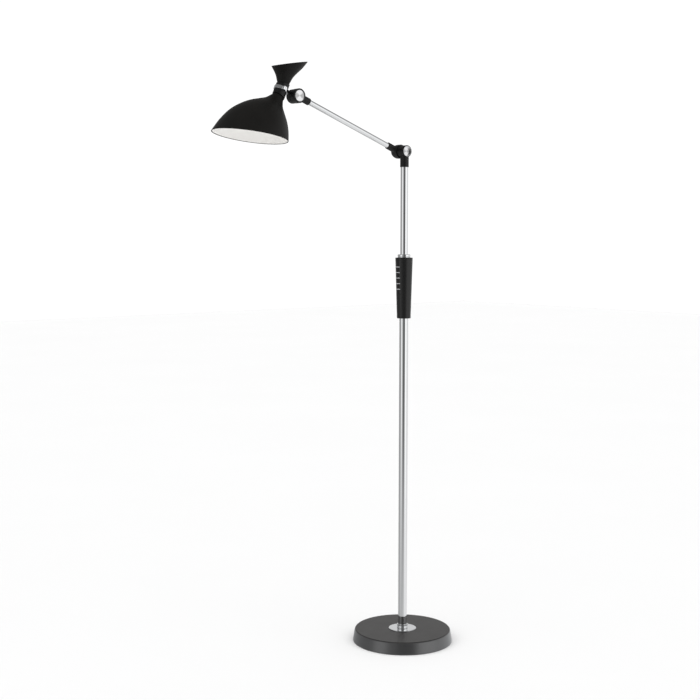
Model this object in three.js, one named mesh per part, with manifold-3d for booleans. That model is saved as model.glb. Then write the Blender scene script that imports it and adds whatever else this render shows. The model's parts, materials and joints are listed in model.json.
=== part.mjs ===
// Adjustable arm floor lamp: a round weighted base, a telescopic pole with a touch-control grip,
// a jointed arm, and a head of two spun shades on one neck.
// Millimetres, +Z up. The origin is under the centre of the base, on the pole's axis.
// The arm reaches towards -X and both tilting hinges turn about Y.
import * as THREE from 'three';
import { mergeVertices } from 'three/addons/utils/BufferGeometryUtils.js';
import Module from 'manifold-3d';

const wasm = await Module();
wasm.setup();

// ---------------------------------------------------------------- driving dimensions

const GAP = 0.3; // clearance between pieces that touch
const OVERRUN = 2; // how far a cutter runs past the face it cuts
const ROUND = 24; // facets of an ordinary turned piece
const DRUM_FACETS = 28; // facets of a hinge half

const BASE = {
  radius: 127, topRadius: 122.3, height: 31, lift: 0.8, skirt: 3, bevel: 1.1, wall: 1.4, facets: 48,
};
const PAD = { radius: 121, thickness: 2 };
const PLATE = { radius: 112, thickness: 2, screwCircle: 80, screws: 3, counterbore: 1 };
const WEIGHT = { radius: 110, height: 22.6, bore: 5.4, pocketRadius: 14, pocketDepth: 14.4, channel: 7 };
const SCREW = { radius: 2, headRadius: 4, headHeight: 0.6, length: 9.4, clearance: 0.4, bore: 9 };
const NIPPLE = {
  radius: 5, bore: 3.2, low: 12.6, high: 62, washerRadius: 12, washer: 1.2, nutRadius: 8.7, nutHeight: 3.6,
};
const GLAND = { height: 8.6, radius: 4.2, bore: 2.6, flangeRadius: 5, flange: 5, outer: 126.4, inner: 113 };
const FLANGE = { radius: 35, thickness: 1.3, bevel: 0.5 };
const BOSS = { radius: 14, height: 9.4, floor: 3.2, bevel: 0.8 };

const LOWER_POLE = { radius: 11.1, bore: 10.3, top: 950 };
const UPPER_POLE = { radius: 9.525, bore: 8.7, bottom: 745, top: 1229.4 };
const GLIDE = { radius: 9.95, bore: 4, length: 23, spigotRadius: 8.3, spigot: 13 };
const LEAD = { radius: 2, top: 560, bend: 6.4 };

const GRIP = {
  bottom: 828.8, top: 981, bottomRadius: 17.3, topRadius: 21.9, edge: 0.8, wall: 2.4, floor: 2.6, turn: -10,
};
const PANEL = { bottom: 890, top: 974, halfWidth: 12.2, depth: 1.5 };
const BARS = { count: 5, top: 957.9, pitch: 13.9, halfWidth: 9.6, halfHeight: 1 };
const BOARD = { bottom: 894, top: 968, inner: 13.3, thickness: 1.6, halfWidth: 6 };
const GRUB = { height: 845, radius: 2, outer: 17.2, inner: 11.4 };
const COLLET = { bore: 9.85, radius: 11.6, top: 984.4, slots: 4, slotWidth: 1.2, slotDepth: 18 };
const COLLAR = { radius: 16, bottom: 981.4, top: 989.2, lip: 3.4, bevel: 0.9 };
const TOP_CAP = { thickness: 2.4, drop: 0.4 };

const ELBOW = {
  height: 1244.8, nearLow: -10.8, nearHigh: 10.9, nearRadius: 14.6, washer: 1, farDepth: 30,
  farRadius: 17.4, dome: 20, pocket: 6, discRadius: 12.8, cup: 4.4,
};
const HEAD = {
  nearLow: 13.5, nearHigh: 30.5, nearRadius: 17, washer: 0.8, farDepth: 20,
  farRadius: 16.6, dome: 9, pocket: 3.5, discRadius: 13.1, cup: 0,
};
const HINGE = {
  edge: 0.6, washerRadius: 14, boltRadius: 3, clearance: 0.4, headRadius: 5.5, headHeight: 3.4, headPocket: 4.2,
};
const DISC = { recess: 1.7, drop: 0.1, thickness: 1.3, lip: 0.9, bevel: 0.4 };
const NUT = { radius: 5.77, height: 4.2, pocketRadius: 6.3, springWasher: 1.1, springRadius: 5.6 };

const ARM = { length: 337.6, rise: 20.3, plane: 22, radius: 6.35, bore: 5.35, seat: 17, leadRadius: 1.6 };
const POLE_SOCKET = { radius: 10.8, bottom: 1205.6 };
const ARM_SOCKET = { radius: 8.5, elbowLength: 40, headLength: 35 };

const NECK = { plane: 36.8, tilt: 25.7, length: 33, reach: 40, radius: 15.5, bore: 12, rise: 5.65 };
const BAND = { thickness: 1.5, height: 8, rise: 1.4 };
const BLOCK = { width: 8, height: 8.6, depth: 4.5, turn: -99 };
const STUB = { radius: 4.9, screwRadius: 2, screwDepth: 8, headRadius: 3.6, headHeight: 2.4 };
const NECK_TUBE = { radius: 5, bore: 3.4, beyond: 6, nutRise: 4.4, nutRadius: 8, nutHeight: 4 };

// Shade outlines: [radius, distance from the neck along the shade's own axis].
// mouth is where the slanting rim crosses that axis, slant is the rim's angle across it.
const BELL = {
  tilt: 36.6, mouth: 121.7, slant: 27.8, wall: 1.2, hole: 6.6, facets: 36, steps: 12,
  outline: [[13.5, 0], [18.7, 12], [26, 24], [38.8, 38], [54.4, 55], [68, 75], [79.8, 100], [86.4, 130],
    [88.6, 158], [89.4, 186]],
};
const FLARE = {
  tilt: 11.5, mouth: 46.4, slant: 20.4, wall: 1.2, hole: 7, facets: 28, steps: 6,
  outline: [[13.7, 0], [16.8, 8], [20.7, 18], [28.5, 30], [39.6, 45], [49.2, 62], [59.4, 80]],
};
const LINER = { wall: 0.8, firstStep: 5, drawback: 1.2 };
const LIGHT = {
  sinkTop: 10, sinkHeight: 30, sinkRadius: 30, coreRadius: 8, base: 4,
  fin: 2, fins: [[15, 9], [20, 15], [25, 21]],
  boardTop: 40.4, boardRadius: 30, board: 1.6, lensTop: 44, lensRadius: 33, ringRadius: 43, ring: 1.5,
};

// ---------------------------------------------------------------- finishes

const finish = (color, roughness, metalness) => new THREE.MeshStandardMaterial({ color, roughness, metalness });
const FINISH = {
  baseCoat: finish(0x4b4a48, 0.42, 0.3),
  black: finish(0x17181a, 0.45, 0.1),
  gripBlack: finish(0x1b1b1c, 0.32, 0),
  chrome: finish(0xd8dadc, 0.08, 1),
  castIron: finish(0x3a3a3c, 0.8, 0.6),
  steel: finish(0x9b9ea2, 0.35, 0.9),
  rubber: finish(0x161616, 0.85, 0),
  felt: finish(0x222222, 0.95, 0),
  nylon: finish(0xd9d6cc, 0.6, 0),
  fibre: finish(0x8a6b45, 0.9, 0),
  panel: finish(0x101012, 0.2, 0),
  light: finish(0xe8ecef, 0.4, 0),
  board: finish(0x1f5a3a, 0.6, 0),
  white: finish(0xf4f3ef, 0.5, 0),
  lens: finish(0xf7f6f2, 0.55, 0),
  aluminium: finish(0xb4b7ba, 0.4, 0.9),
  cable: finish(0x1a1a1a, 0.7, 0),
};

// ---------------------------------------------------------------- shape helpers

const radians = THREE.MathUtils.degToRad;

// A three.js geometry as a manifold solid: shared corners merged, empty triangles dropped.
function solid(geometry) {
  geometry.deleteAttribute('normal');
  geometry.deleteAttribute('uv');
  const merged = mergeVertices(geometry, 1e-4);
  const corners = merged.index.array;
  const triangles = [];
  for (let i = 0; i < corners.length; i += 3) {
    const [a, b, c] = corners.slice(i, i + 3);
    if (a !== b && b !== c && c !== a) triangles.push(a, b, c);
  }
  return new wasm.Manifold(new wasm.Mesh({
    numProp: 3,
    vertProperties: new Float32Array(merged.attributes.position.array),
    triVerts: new Uint32Array(triangles),
  }));
}

function geometryOf(body) {
  const mesh = body.getMesh();
  const geometry = new THREE.BufferGeometry();
  geometry.setAttribute('position', new THREE.BufferAttribute(new Float32Array(mesh.vertProperties), 3));
  geometry.setIndex([...mesh.triVerts]);
  geometry.computeVertexNormals();
  return geometry;
}

// Turned about +Z. The outline [radius, height] runs anticlockwise and is closed or ends on the axis.
function turned(outline, facets = ROUND) {
  const points = outline.map(([radius, height]) => new THREE.Vector2(radius, height));
  return new THREE.LatheGeometry(points, facets).rotateX(Math.PI / 2);
}

const rod = (radius, low, high, facets) => turned([[0, low], [radius, low], [radius, high], [0, high]], facets);

const closed = (outline) => [...outline, outline[0]];

const tube = (bore, radius, low, high, facets) => turned(
  closed([[bore, low], [radius, low], [radius, high], [bore, high]]), facets,
);

const block = (low, high) => {
  const size = high.map((value, axis) => value - low[axis]);
  return new THREE.BoxGeometry(...size).translate(...high.map((value, axis) => (value + low[axis]) / 2));
};

const alongY = (geometry) => geometry.rotateX(-Math.PI / 2);
const alongX = (geometry) => geometry.rotateY(Math.PI / 2);

const cut = (body, ...cutters) => cutters.reduce((rest, cutter) => rest.subtract(solid(cutter)), body);
const join = (first, ...others) => others.reduce((whole, other) => whole.add(solid(other)), solid(first));

const hexNut = (bore, radius, low, high) => cut(
  solid(rod(radius, low, high, 6)), rod(bore, low - OVERRUN, high + OVERRUN, 20),
);

function piece(group, name, shape, material) {
  const geometry = shape instanceof THREE.BufferGeometry ? shape : geometryOf(shape);
  const mesh = new THREE.Mesh(geometry, material);
  mesh.name = name;
  group.add(mesh);
  return mesh;
}

function frameAt(parent, x, y, z, tilt = 0) {
  const group = new THREE.Group();
  group.position.set(x, y, z);
  group.rotation.y = tilt;
  parent.add(group);
  return group;
}

// ---------------------------------------------------------------- base

const lamp = new THREE.Group();

function baseOutline(inset) {
  const top = BASE.height - inset;
  return [
    [BASE.radius - inset, BASE.lift],
    [BASE.radius - inset, BASE.skirt],
    [BASE.topRadius - inset, top - BASE.bevel],
    [BASE.topRadius - inset - BASE.bevel, top],
  ];
}

function addBase() {
  const screwAngles = Array.from({ length: PLATE.screws }, (_, i) => (i + 0.5) * (2 * Math.PI / PLATE.screws));
  const spread = (makeCutter) => screwAngles.map((angle) => makeCutter()
    .translate(PLATE.screwCircle * Math.cos(angle), PLATE.screwCircle * Math.sin(angle), 0));

  const outside = baseOutline(0);
  const inside = baseOutline(BASE.wall).reverse();
  const shell = solid(turned(closed([
    ...outside, [WEIGHT.bore, BASE.height], [WEIGHT.bore, BASE.height - BASE.wall], ...inside,
  ]), BASE.facets));
  const glandHole = alongX(rod(GLAND.radius + GAP, BASE.topRadius - 10, BASE.radius + OVERRUN, 16))
    .translate(0, 0, GLAND.height);
  piece(lamp, 'base_shell', cut(shell, glandHole), FINISH.baseCoat);

  piece(lamp, 'base_pad', rod(PAD.radius, 0, PAD.thickness, BASE.facets), FINISH.felt);

  const plateLow = PAD.thickness + GAP;
  const plateHigh = plateLow + PLATE.thickness;
  const sunk = plateLow + PLATE.counterbore;
  const counterbore = () => rod(SCREW.headRadius + SCREW.clearance, plateLow - OVERRUN, sunk, 12);
  const through = () => rod(SCREW.radius + SCREW.clearance, plateLow - OVERRUN, plateHigh + OVERRUN, 12);
  piece(lamp, 'base_bottom_plate', cut(
    solid(rod(PLATE.radius, plateLow, plateHigh, 40)), ...spread(counterbore), ...spread(through),
  ), FINISH.steel);

  const weightLow = plateHigh + GAP;
  const weightHigh = weightLow + WEIGHT.height;
  const screwHole = () => rod(SCREW.radius + SCREW.clearance, weightLow - OVERRUN, weightLow + SCREW.bore, 12);
  piece(lamp, 'base_weight', cut(
    solid(tube(WEIGHT.bore, WEIGHT.radius, weightLow, weightHigh, 40)),
    rod(WEIGHT.pocketRadius, weightLow - OVERRUN, weightLow + WEIGHT.pocketDepth),
    block([0, -WEIGHT.channel / 2, weightLow - OVERRUN],
      [WEIGHT.radius + OVERRUN, WEIGHT.channel / 2, GLAND.height + WEIGHT.channel / 2]),
    ...spread(screwHole),
  ), FINISH.castIron);

  const headLow = plateLow + 0.1;
  const neckLow = headLow + SCREW.headHeight;
  screwAngles.forEach((angle, i) => {
    const screw = turned([
      [0, headLow], [SCREW.headRadius, headLow], [SCREW.headRadius, neckLow],
      [SCREW.radius, neckLow], [SCREW.radius, headLow + SCREW.length], [0, headLow + SCREW.length],
    ], 12);
    const mesh = piece(lamp, `plate_screw_${i + 1}`, screw, FINISH.steel);
    mesh.position.set(PLATE.screwCircle * Math.cos(angle), PLATE.screwCircle * Math.sin(angle), 0);
  });

  const gland = closed([
    [GLAND.bore, GLAND.inner], [GLAND.flangeRadius, GLAND.inner],
    [GLAND.flangeRadius, GLAND.inner + GLAND.flange], [GLAND.radius, GLAND.inner + GLAND.flange],
    [GLAND.radius, GLAND.outer], [GLAND.bore, GLAND.outer],
  ]);
  piece(lamp, 'cord_gland', alongX(turned(gland, 16)), FINISH.rubber).position.z = GLAND.height;

  const washerHigh = weightLow + WEIGHT.pocketDepth - GAP;
  const washerLow = washerHigh - NIPPLE.washer;
  const nutHigh = washerLow - GAP;
  piece(lamp, 'nipple_washer', tube(WEIGHT.bore, NIPPLE.washerRadius, washerLow, washerHigh, 20), FINISH.steel);
  const nut = hexNut(WEIGHT.bore, NIPPLE.nutRadius, nutHigh - NIPPLE.nutHeight, nutHigh);
  piece(lamp, 'nipple_nut', nut, FINISH.steel);
  piece(lamp, 'threaded_nipple', tube(NIPPLE.bore, NIPPLE.radius, NIPPLE.low, NIPPLE.high, 20), FINISH.steel);

  const flangeLow = BASE.height + GAP;
  const flangeHigh = flangeLow + FLANGE.thickness;
  piece(lamp, 'pole_flange', turned(closed([
    [WEIGHT.bore, flangeLow], [FLANGE.radius, flangeLow], [FLANGE.radius, flangeHigh - FLANGE.bevel],
    [FLANGE.radius - FLANGE.bevel, flangeHigh], [WEIGHT.bore, flangeHigh],
  ]), 40), FINISH.chrome);

  const bossLow = flangeHigh + GAP;
  const bossHigh = bossLow + BOSS.height;
  const bossBore = LOWER_POLE.radius + GAP;
  piece(lamp, 'flange_boss', turned(closed([
    [WEIGHT.bore, bossLow], [BOSS.radius, bossLow], [BOSS.radius, bossHigh - BOSS.bevel],
    [BOSS.radius - BOSS.bevel, bossHigh], [bossBore, bossHigh], [bossBore, bossLow + BOSS.floor],
    [WEIGHT.bore, bossLow + BOSS.floor],
  ]), 32), FINISH.chrome);

  const poleLow = bossLow + BOSS.floor + GAP;
  piece(lamp, 'lower_pole', tube(LOWER_POLE.bore, LOWER_POLE.radius, poleLow, LOWER_POLE.top), FINISH.chrome);
  piece(lamp, 'pole_plug', tube(
    WEIGHT.bore, LOWER_POLE.bore - 0.4, poleLow + GAP, NIPPLE.high - 4, 20,
  ), FINISH.steel);
}

// The supply lead runs from the gland along the channel, turns up into the nipple and climbs the pole.
function addSupplyLead() {
  const sides = 8;
  const lap = 1;
  const { height } = GLAND;
  const bend = new THREE.QuadraticBezierCurve3(
    new THREE.Vector3(LEAD.bend, 0, height), new THREE.Vector3(0, 0, height),
    new THREE.Vector3(0, 0, height + LEAD.bend),
  );
  const section = new THREE.Shape().absarc(0, 0, LEAD.radius, 0, 2 * Math.PI);
  const corner = new THREE.ExtrudeGeometry(section, { steps: 6, curveSegments: sides / 2, extrudePath: bend });
  const flat = alongX(rod(LEAD.radius, LEAD.bend - lap, GLAND.outer - 1, sides)).translate(0, 0, height);
  const climb = rod(LEAD.radius, height + LEAD.bend - lap, LEAD.top, sides);
  piece(lamp, 'supply_lead', join(corner, flat, climb), FINISH.cable);
}

// ---------------------------------------------------------------- control grip and twist lock

const gripRadius = (z) => THREE.MathUtils.mapLinear(
  z, GRIP.bottom, GRIP.top, GRIP.bottomRadius, GRIP.topRadius,
);

// A layer of the tapered grip wall between two depths below its surface, kept to a window on its front.
function gripLayer(outerDepth, innerDepth, halfWidth, low, high) {
  const layer = solid(turned(closed([
    [gripRadius(low) - innerDepth, low], [gripRadius(low) - outerDepth, low],
    [gripRadius(high) - outerDepth, high], [gripRadius(high) - innerDepth, high],
  ]), 36));
  const reach = GRIP.topRadius + OVERRUN;
  return layer.intersect(solid(block([-reach, -halfWidth, low - 1], [0, halfWidth, high + 1])));
}

function addGrip() {
  const grip = new THREE.Group();
  grip.rotation.z = radians(GRIP.turn);
  lamp.add(grip);

  const { edge } = GRIP;
  const innerFloor = GRIP.bottom + GRIP.floor;
  const sleeve = solid(turned(closed([
    [LOWER_POLE.radius + GAP, GRIP.bottom], [gripRadius(GRIP.bottom) - edge, GRIP.bottom],
    [gripRadius(GRIP.bottom), GRIP.bottom + edge], [gripRadius(GRIP.top), GRIP.top - edge],
    [gripRadius(GRIP.top) - edge, GRIP.top], [gripRadius(GRIP.top) - GRIP.wall, GRIP.top],
    [gripRadius(innerFloor) - GRIP.wall, innerFloor], [LOWER_POLE.radius + GAP, innerFloor],
  ]), 36));
  const recess = gripLayer(
    -OVERRUN, PANEL.depth + GAP, PANEL.halfWidth + GAP, PANEL.bottom - GAP, PANEL.top + GAP,
  );
  const grubHole = alongX(rod(GRUB.radius + GAP, LOWER_POLE.radius, GRIP.topRadius + OVERRUN, 12))
    .translate(0, 0, GRUB.height);
  piece(grip, 'grip_body', cut(sleeve.subtract(recess), grubHole), FINISH.gripBlack);

  let panel = gripLayer(0, PANEL.depth, PANEL.halfWidth, PANEL.bottom, PANEL.top);
  for (let i = 0; i < BARS.count; i += 1) {
    const height = BARS.top - i * BARS.pitch;
    const low = height - BARS.halfHeight;
    const high = height + BARS.halfHeight;
    panel = panel.subtract(gripLayer(-1, PANEL.depth + 0.2, BARS.halfWidth + GAP, low - GAP, high + GAP));
    piece(grip, `touch_bar_${i + 1}`, gripLayer(0, PANEL.depth, BARS.halfWidth, low, high), FINISH.light);
  }
  piece(grip, 'touch_panel', panel, FINISH.panel);

  piece(grip, 'control_board', block(
    [-BOARD.inner - BOARD.thickness, -BOARD.halfWidth, BOARD.bottom],
    [-BOARD.inner, BOARD.halfWidth, BOARD.top],
  ), FINISH.board);
  piece(grip, 'grip_grub_screw', alongX(rod(GRUB.radius, GRUB.inner, GRUB.outer, 12)), FINISH.steel)
    .position.z = GRUB.height;

  const capHigh = GRIP.top - TOP_CAP.drop;
  const capLow = capHigh - TOP_CAP.thickness;
  piece(grip, 'grip_top_cap', tube(
    COLLET.radius + GAP, gripRadius(capLow) - GRIP.wall - GAP, capLow, capHigh, 32,
  ), FINISH.gripBlack);
}

function addTwistLock() {
  const colletLow = LOWER_POLE.top + GAP;
  const slits = Array.from({ length: COLLET.slots }, (_, i) => block(
    [COLLET.bore - 1, -COLLET.slotWidth / 2, COLLET.top - COLLET.slotDepth],
    [COLLET.radius + 1, COLLET.slotWidth / 2, COLLET.top + OVERRUN],
  ).rotateZ((i + 0.5) * (2 * Math.PI / COLLET.slots)));
  piece(lamp, 'clamp_collet', cut(
    solid(tube(COLLET.bore, COLLET.radius, colletLow, COLLET.top)), ...slits,
  ), FINISH.nylon);

  const lipLow = COLLAR.top - COLLAR.lip;
  piece(lamp, 'locking_collar', turned(closed([
    [COLLET.radius + GAP, COLLAR.bottom], [COLLAR.radius, COLLAR.bottom],
    [COLLAR.radius, COLLAR.top - COLLAR.bevel], [COLLAR.radius - COLLAR.bevel, COLLAR.top],
    [COLLET.bore, COLLAR.top], [COLLET.bore, lipLow], [COLLET.radius + GAP, lipLow],
  ]), 32), FINISH.chrome);
}

// ---------------------------------------------------------------- upper pole

function addUpperPole() {
  const { radius, bore, bottom, top } = UPPER_POLE;
  piece(lamp, 'upper_pole', tube(bore, radius, bottom, top), FINISH.chrome);
  const glideTop = bottom - GAP;
  piece(lamp, 'pole_glide', turned(closed([
    [GLIDE.bore, glideTop - GLIDE.length], [GLIDE.radius, glideTop - GLIDE.length], [GLIDE.radius, glideTop],
    [GLIDE.spigotRadius, glideTop], [GLIDE.spigotRadius, glideTop + GLIDE.spigot],
    [GLIDE.bore, glideTop + GLIDE.spigot],
  ])), FINISH.nylon);
  piece(lamp, 'upper_lead', rod(LEAD.radius, glideTop + GLIDE.spigot + 4, top - 1, 8), FINISH.cable);
}

// ---------------------------------------------------------------- friction hinges
// Both hinges turn about their group's Y axis. The near half carries the bright disc and the bolt
// head; the far half has a domed back with a captive nut.

function nearHalf(hinge, stub, stubBore) {
  const { nearLow: low, nearHigh: high, nearRadius: radius } = hinge;
  const floor = low + DISC.recess + hinge.cup;
  const drum = alongY(turned([
    [0, low], [radius - HINGE.edge, low], [radius, low + HINGE.edge], [radius, high], [0, high],
  ], DRUM_FACETS));
  return cut(
    join(drum, stub),
    stubBore,
    alongY(rod(hinge.discRadius + GAP, low - OVERRUN, floor, DRUM_FACETS)),
    alongY(rod(HINGE.headRadius + HINGE.clearance, low, floor + HINGE.headPocket, 16)),
    alongY(rod(HINGE.boltRadius + HINGE.clearance, low, high + OVERRUN, 12)),
  );
}

function farHalf(hinge, stub, ...stubBores) {
  const low = farFace(hinge);
  const shoulder = low + hinge.farDepth - hinge.dome;
  const arcSteps = 4;
  const dome = Array.from({ length: arcSteps + 1 }, (_, i) => {
    const angle = (i / arcSteps) * (Math.PI / 2);
    return [hinge.farRadius * Math.cos(angle), shoulder + hinge.dome * Math.sin(angle)];
  });
  dome[arcSteps][0] = 0;
  const drum = alongY(turned([[0, low], [hinge.farRadius, low], ...dome], DRUM_FACETS));
  const pocketLow = low + hinge.pocket;
  const pocketHigh = pocketLow + NUT.springWasher + NUT.height + 4 * GAP;
  return cut(
    join(drum, stub),
    ...stubBores,
    alongY(rod(HINGE.boltRadius + HINGE.clearance, low - OVERRUN, pocketHigh, 12)),
    alongY(rod(NUT.pocketRadius, pocketLow, pocketHigh, 12)),
  );
}

function farFace(hinge) {
  return hinge.nearHigh + hinge.washer + 2 * GAP;
}

function addHingeHardware(nearGroup, farGroup, name, hinge) {
  const { nearLow: low, discRadius: radius, cup } = hinge;
  const rim = low + DISC.drop;
  const discFace = rim + cup;
  const discBack = discFace + DISC.thickness;
  const cupWall = cup > 0 ? [[radius - DISC.lip, discFace], [radius - DISC.lip, rim]] : [];
  piece(nearGroup, `${name}_disc_cap`, alongY(turned([
    [0, discFace], ...cupWall, [radius - DISC.bevel, rim], [radius, rim + DISC.bevel],
    [radius, discBack], [0, discBack],
  ], DRUM_FACETS)), FINISH.chrome);

  const headLow = low + DISC.recess + cup + GAP;
  const headHigh = headLow + HINGE.headHeight;
  const pocketLow = farFace(hinge) + hinge.pocket;
  const springLow = pocketLow + GAP;
  const nutLow = springLow + NUT.springWasher + GAP;
  const shankEnd = nutLow + NUT.height + GAP;
  piece(nearGroup, `${name}_bolt`, alongY(turned([
    [0, headLow], [HINGE.headRadius, headLow], [HINGE.headRadius, headHigh], [HINGE.boltRadius, headHigh],
    [HINGE.boltRadius, shankEnd], [0, shankEnd],
  ], 12)), FINISH.steel);

  const washerLow = hinge.nearHigh + GAP;
  const bore = HINGE.boltRadius + HINGE.clearance;
  const frictionWasher = tube(bore, HINGE.washerRadius, washerLow, washerLow + hinge.washer, 24);
  piece(nearGroup, `${name}_friction_washer`, alongY(frictionWasher), FINISH.fibre);
  const springWasher = tube(bore, NUT.springRadius, springLow, springLow + NUT.springWasher, 12);
  piece(farGroup, `${name}_spring_washer`, alongY(springWasher), FINISH.steel);
  const nut = geometryOf(hexNut(bore, NUT.radius, nutLow, nutLow + NUT.height));
  piece(farGroup, `${name}_nut`, alongY(nut), FINISH.steel);
}

// ---------------------------------------------------------------- elbow, arm and head knuckle

const elbow = frameAt(lamp, 0, 0, ELBOW.height);
// In this frame +Z runs along the arm, from the elbow to the head hinge.
const arm = frameAt(lamp, 0, 0, ELBOW.height, radians(ARM.rise - 90));
const armEnd = frameAt(arm, 0, 0, ARM.length);

function addElbowAndArm() {
  const socketEnd = POLE_SOCKET.bottom - ELBOW.height;
  const poleStub = rod(POLE_SOCKET.radius, socketEnd, 0);
  const poleBore = rod(UPPER_POLE.radius + GAP, socketEnd - OVERRUN, UPPER_POLE.top - ELBOW.height + GAP);
  piece(elbow, 'elbow_pole_half', nearHalf(ELBOW, poleStub, poleBore), FINISH.black);

  const armStub = rod(ARM_SOCKET.radius, 0, ARM_SOCKET.elbowLength, 24).translate(0, ARM.plane, 0);
  const armBore = rod(ARM.radius + GAP, ARM.seat, ARM_SOCKET.elbowLength + OVERRUN, 24)
    .translate(0, ARM.plane, 0);
  piece(arm, 'elbow_arm_half', farHalf(ELBOW, armStub, armBore), FINISH.black);
  addHingeHardware(elbow, arm, 'elbow', ELBOW);

  const tubeStart = ARM.seat + GAP;
  const tubeEnd = ARM.length - tubeStart;
  piece(arm, 'arm_tube', tube(ARM.bore, ARM.radius, tubeStart, tubeEnd, 24), FINISH.chrome)
    .position.y = ARM.plane;
  piece(arm, 'arm_lead', rod(ARM.leadRadius, tubeStart + 1, tubeEnd - 1, 8), FINISH.cable)
    .position.y = ARM.plane;

  const headStub = rod(ARM_SOCKET.radius, -ARM_SOCKET.headLength, 0, 24).translate(0, ARM.plane, 0);
  const headBore = rod(ARM.radius + GAP, -ARM_SOCKET.headLength - OVERRUN, -ARM.seat, 24)
    .translate(0, ARM.plane, 0);
  piece(armEnd, 'head_arm_half', nearHalf(HEAD, headStub, headBore), FINISH.black);
}

// ---------------------------------------------------------------- head

const headX = -ARM.length * Math.cos(radians(ARM.rise));
const headZ = ELBOW.height + ARM.length * Math.sin(radians(ARM.rise));
// In this frame +Z is the neck's axis and -X runs from the hinge to the neck.
const knuckle = frameAt(lamp, headX, 0, headZ, radians(NECK.tilt));
const neck = frameAt(knuckle, -NECK.reach, NECK.plane, -NECK.rise);
const bell = frameAt(neck, 0, 0, -NECK.length / 2, Math.PI + radians(BELL.tilt - NECK.tilt));
const flare = frameAt(neck, 0, 0, NECK.length / 2, radians(FLARE.tilt - NECK.tilt));

function shadeCurve(shade) {
  return new THREE.SplineCurve(shade.outline.map(([radius, along]) => new THREE.Vector2(radius, along)));
}

// Points of the shade's outline moved inwards by depth, from one of its steps to the last.
function wallLine(shade, depth, firstStep = 0) {
  const curve = shadeCurve(shade);
  return Array.from({ length: shade.steps + 1 - firstStep }, (_, i) => {
    const at = (firstStep + i) / shade.steps;
    const point = curve.getPoint(at);
    const tangent = curve.getTangent(at);
    return [point.x - depth * tangent.y, point.y + depth * tangent.x];
  });
}

// The half-space beyond the slanting rim, drawn back from it by a distance.
function beyondRim(shade, drawback) {
  const reach = 150;
  return block([-reach, -reach, 0], [reach, reach, reach])
    .rotateY(-radians(shade.slant)).translate(0, 0, shade.mouth - drawback);
}

function shadeShell(shade) {
  const outside = wallLine(shade, 0);
  const inside = wallLine(shade, shade.wall).reverse();
  const ceiling = inside.length - 1;
  inside[ceiling] = [inside[ceiling][0], shade.wall];
  return cut(
    solid(turned(closed([[shade.hole, 0], ...outside, ...inside, [shade.hole, shade.wall]]), shade.facets)),
    beyondRim(shade, 0),
  );
}

function addShades() {
  piece(bell, 'bell_shade', shadeShell(BELL), FINISH.black);
  piece(flare, 'flare_shade', shadeShell(FLARE), FINISH.black);

  const outer = BELL.wall + GAP;
  const liner = closed([
    ...wallLine(BELL, outer, LINER.firstStep),
    ...wallLine(BELL, outer + LINER.wall, LINER.firstStep).reverse(),
  ]);
  piece(bell, 'bell_reflector', cut(
    solid(turned(liner, BELL.facets)), beyondRim(BELL, LINER.drawback),
  ), FINISH.white);
}

function addLightEngine() {
  const { sinkTop: top, coreRadius: core, sinkRadius } = LIGHT;
  const fins = LIGHT.fins.flatMap(([radius, rise]) => [
    [core, top + rise], [radius, top + rise], [radius, top + rise + LIGHT.fin], [core, top + rise + LIGHT.fin],
  ]);
  const sinkBottom = top + LIGHT.sinkHeight;
  const plateTop = sinkBottom - LIGHT.base;
  piece(bell, 'heat_sink', turned([
    [0, top], [core, top], ...fins, [core, plateTop], [sinkRadius, plateTop], [sinkRadius, sinkBottom],
    [0, sinkBottom],
  ], 20), FINISH.aluminium);
  const { boardTop } = LIGHT;
  piece(bell, 'led_board', rod(LIGHT.boardRadius, boardTop, boardTop + LIGHT.board, 32), FINISH.white);
  const lens = LIGHT.lensTop;
  piece(bell, 'diffuser_lens', turned([
    [0, lens + 5], [20, lens + 4], [29, lens + 1.6], [31, lens], [LIGHT.lensRadius, lens],
    [LIGHT.lensRadius, lens + 2], [30.5, lens + 3.4], [21, lens + 5.8], [0, lens + 7],
  ], 32), FINISH.lens);
  const ringTop = lens + 1.2;
  const ring = tube(LIGHT.lensRadius + GAP, LIGHT.ringRadius, ringTop, ringTop + LIGHT.ring, 40);
  piece(bell, 'retaining_ring', ring, FINISH.white);
}

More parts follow.
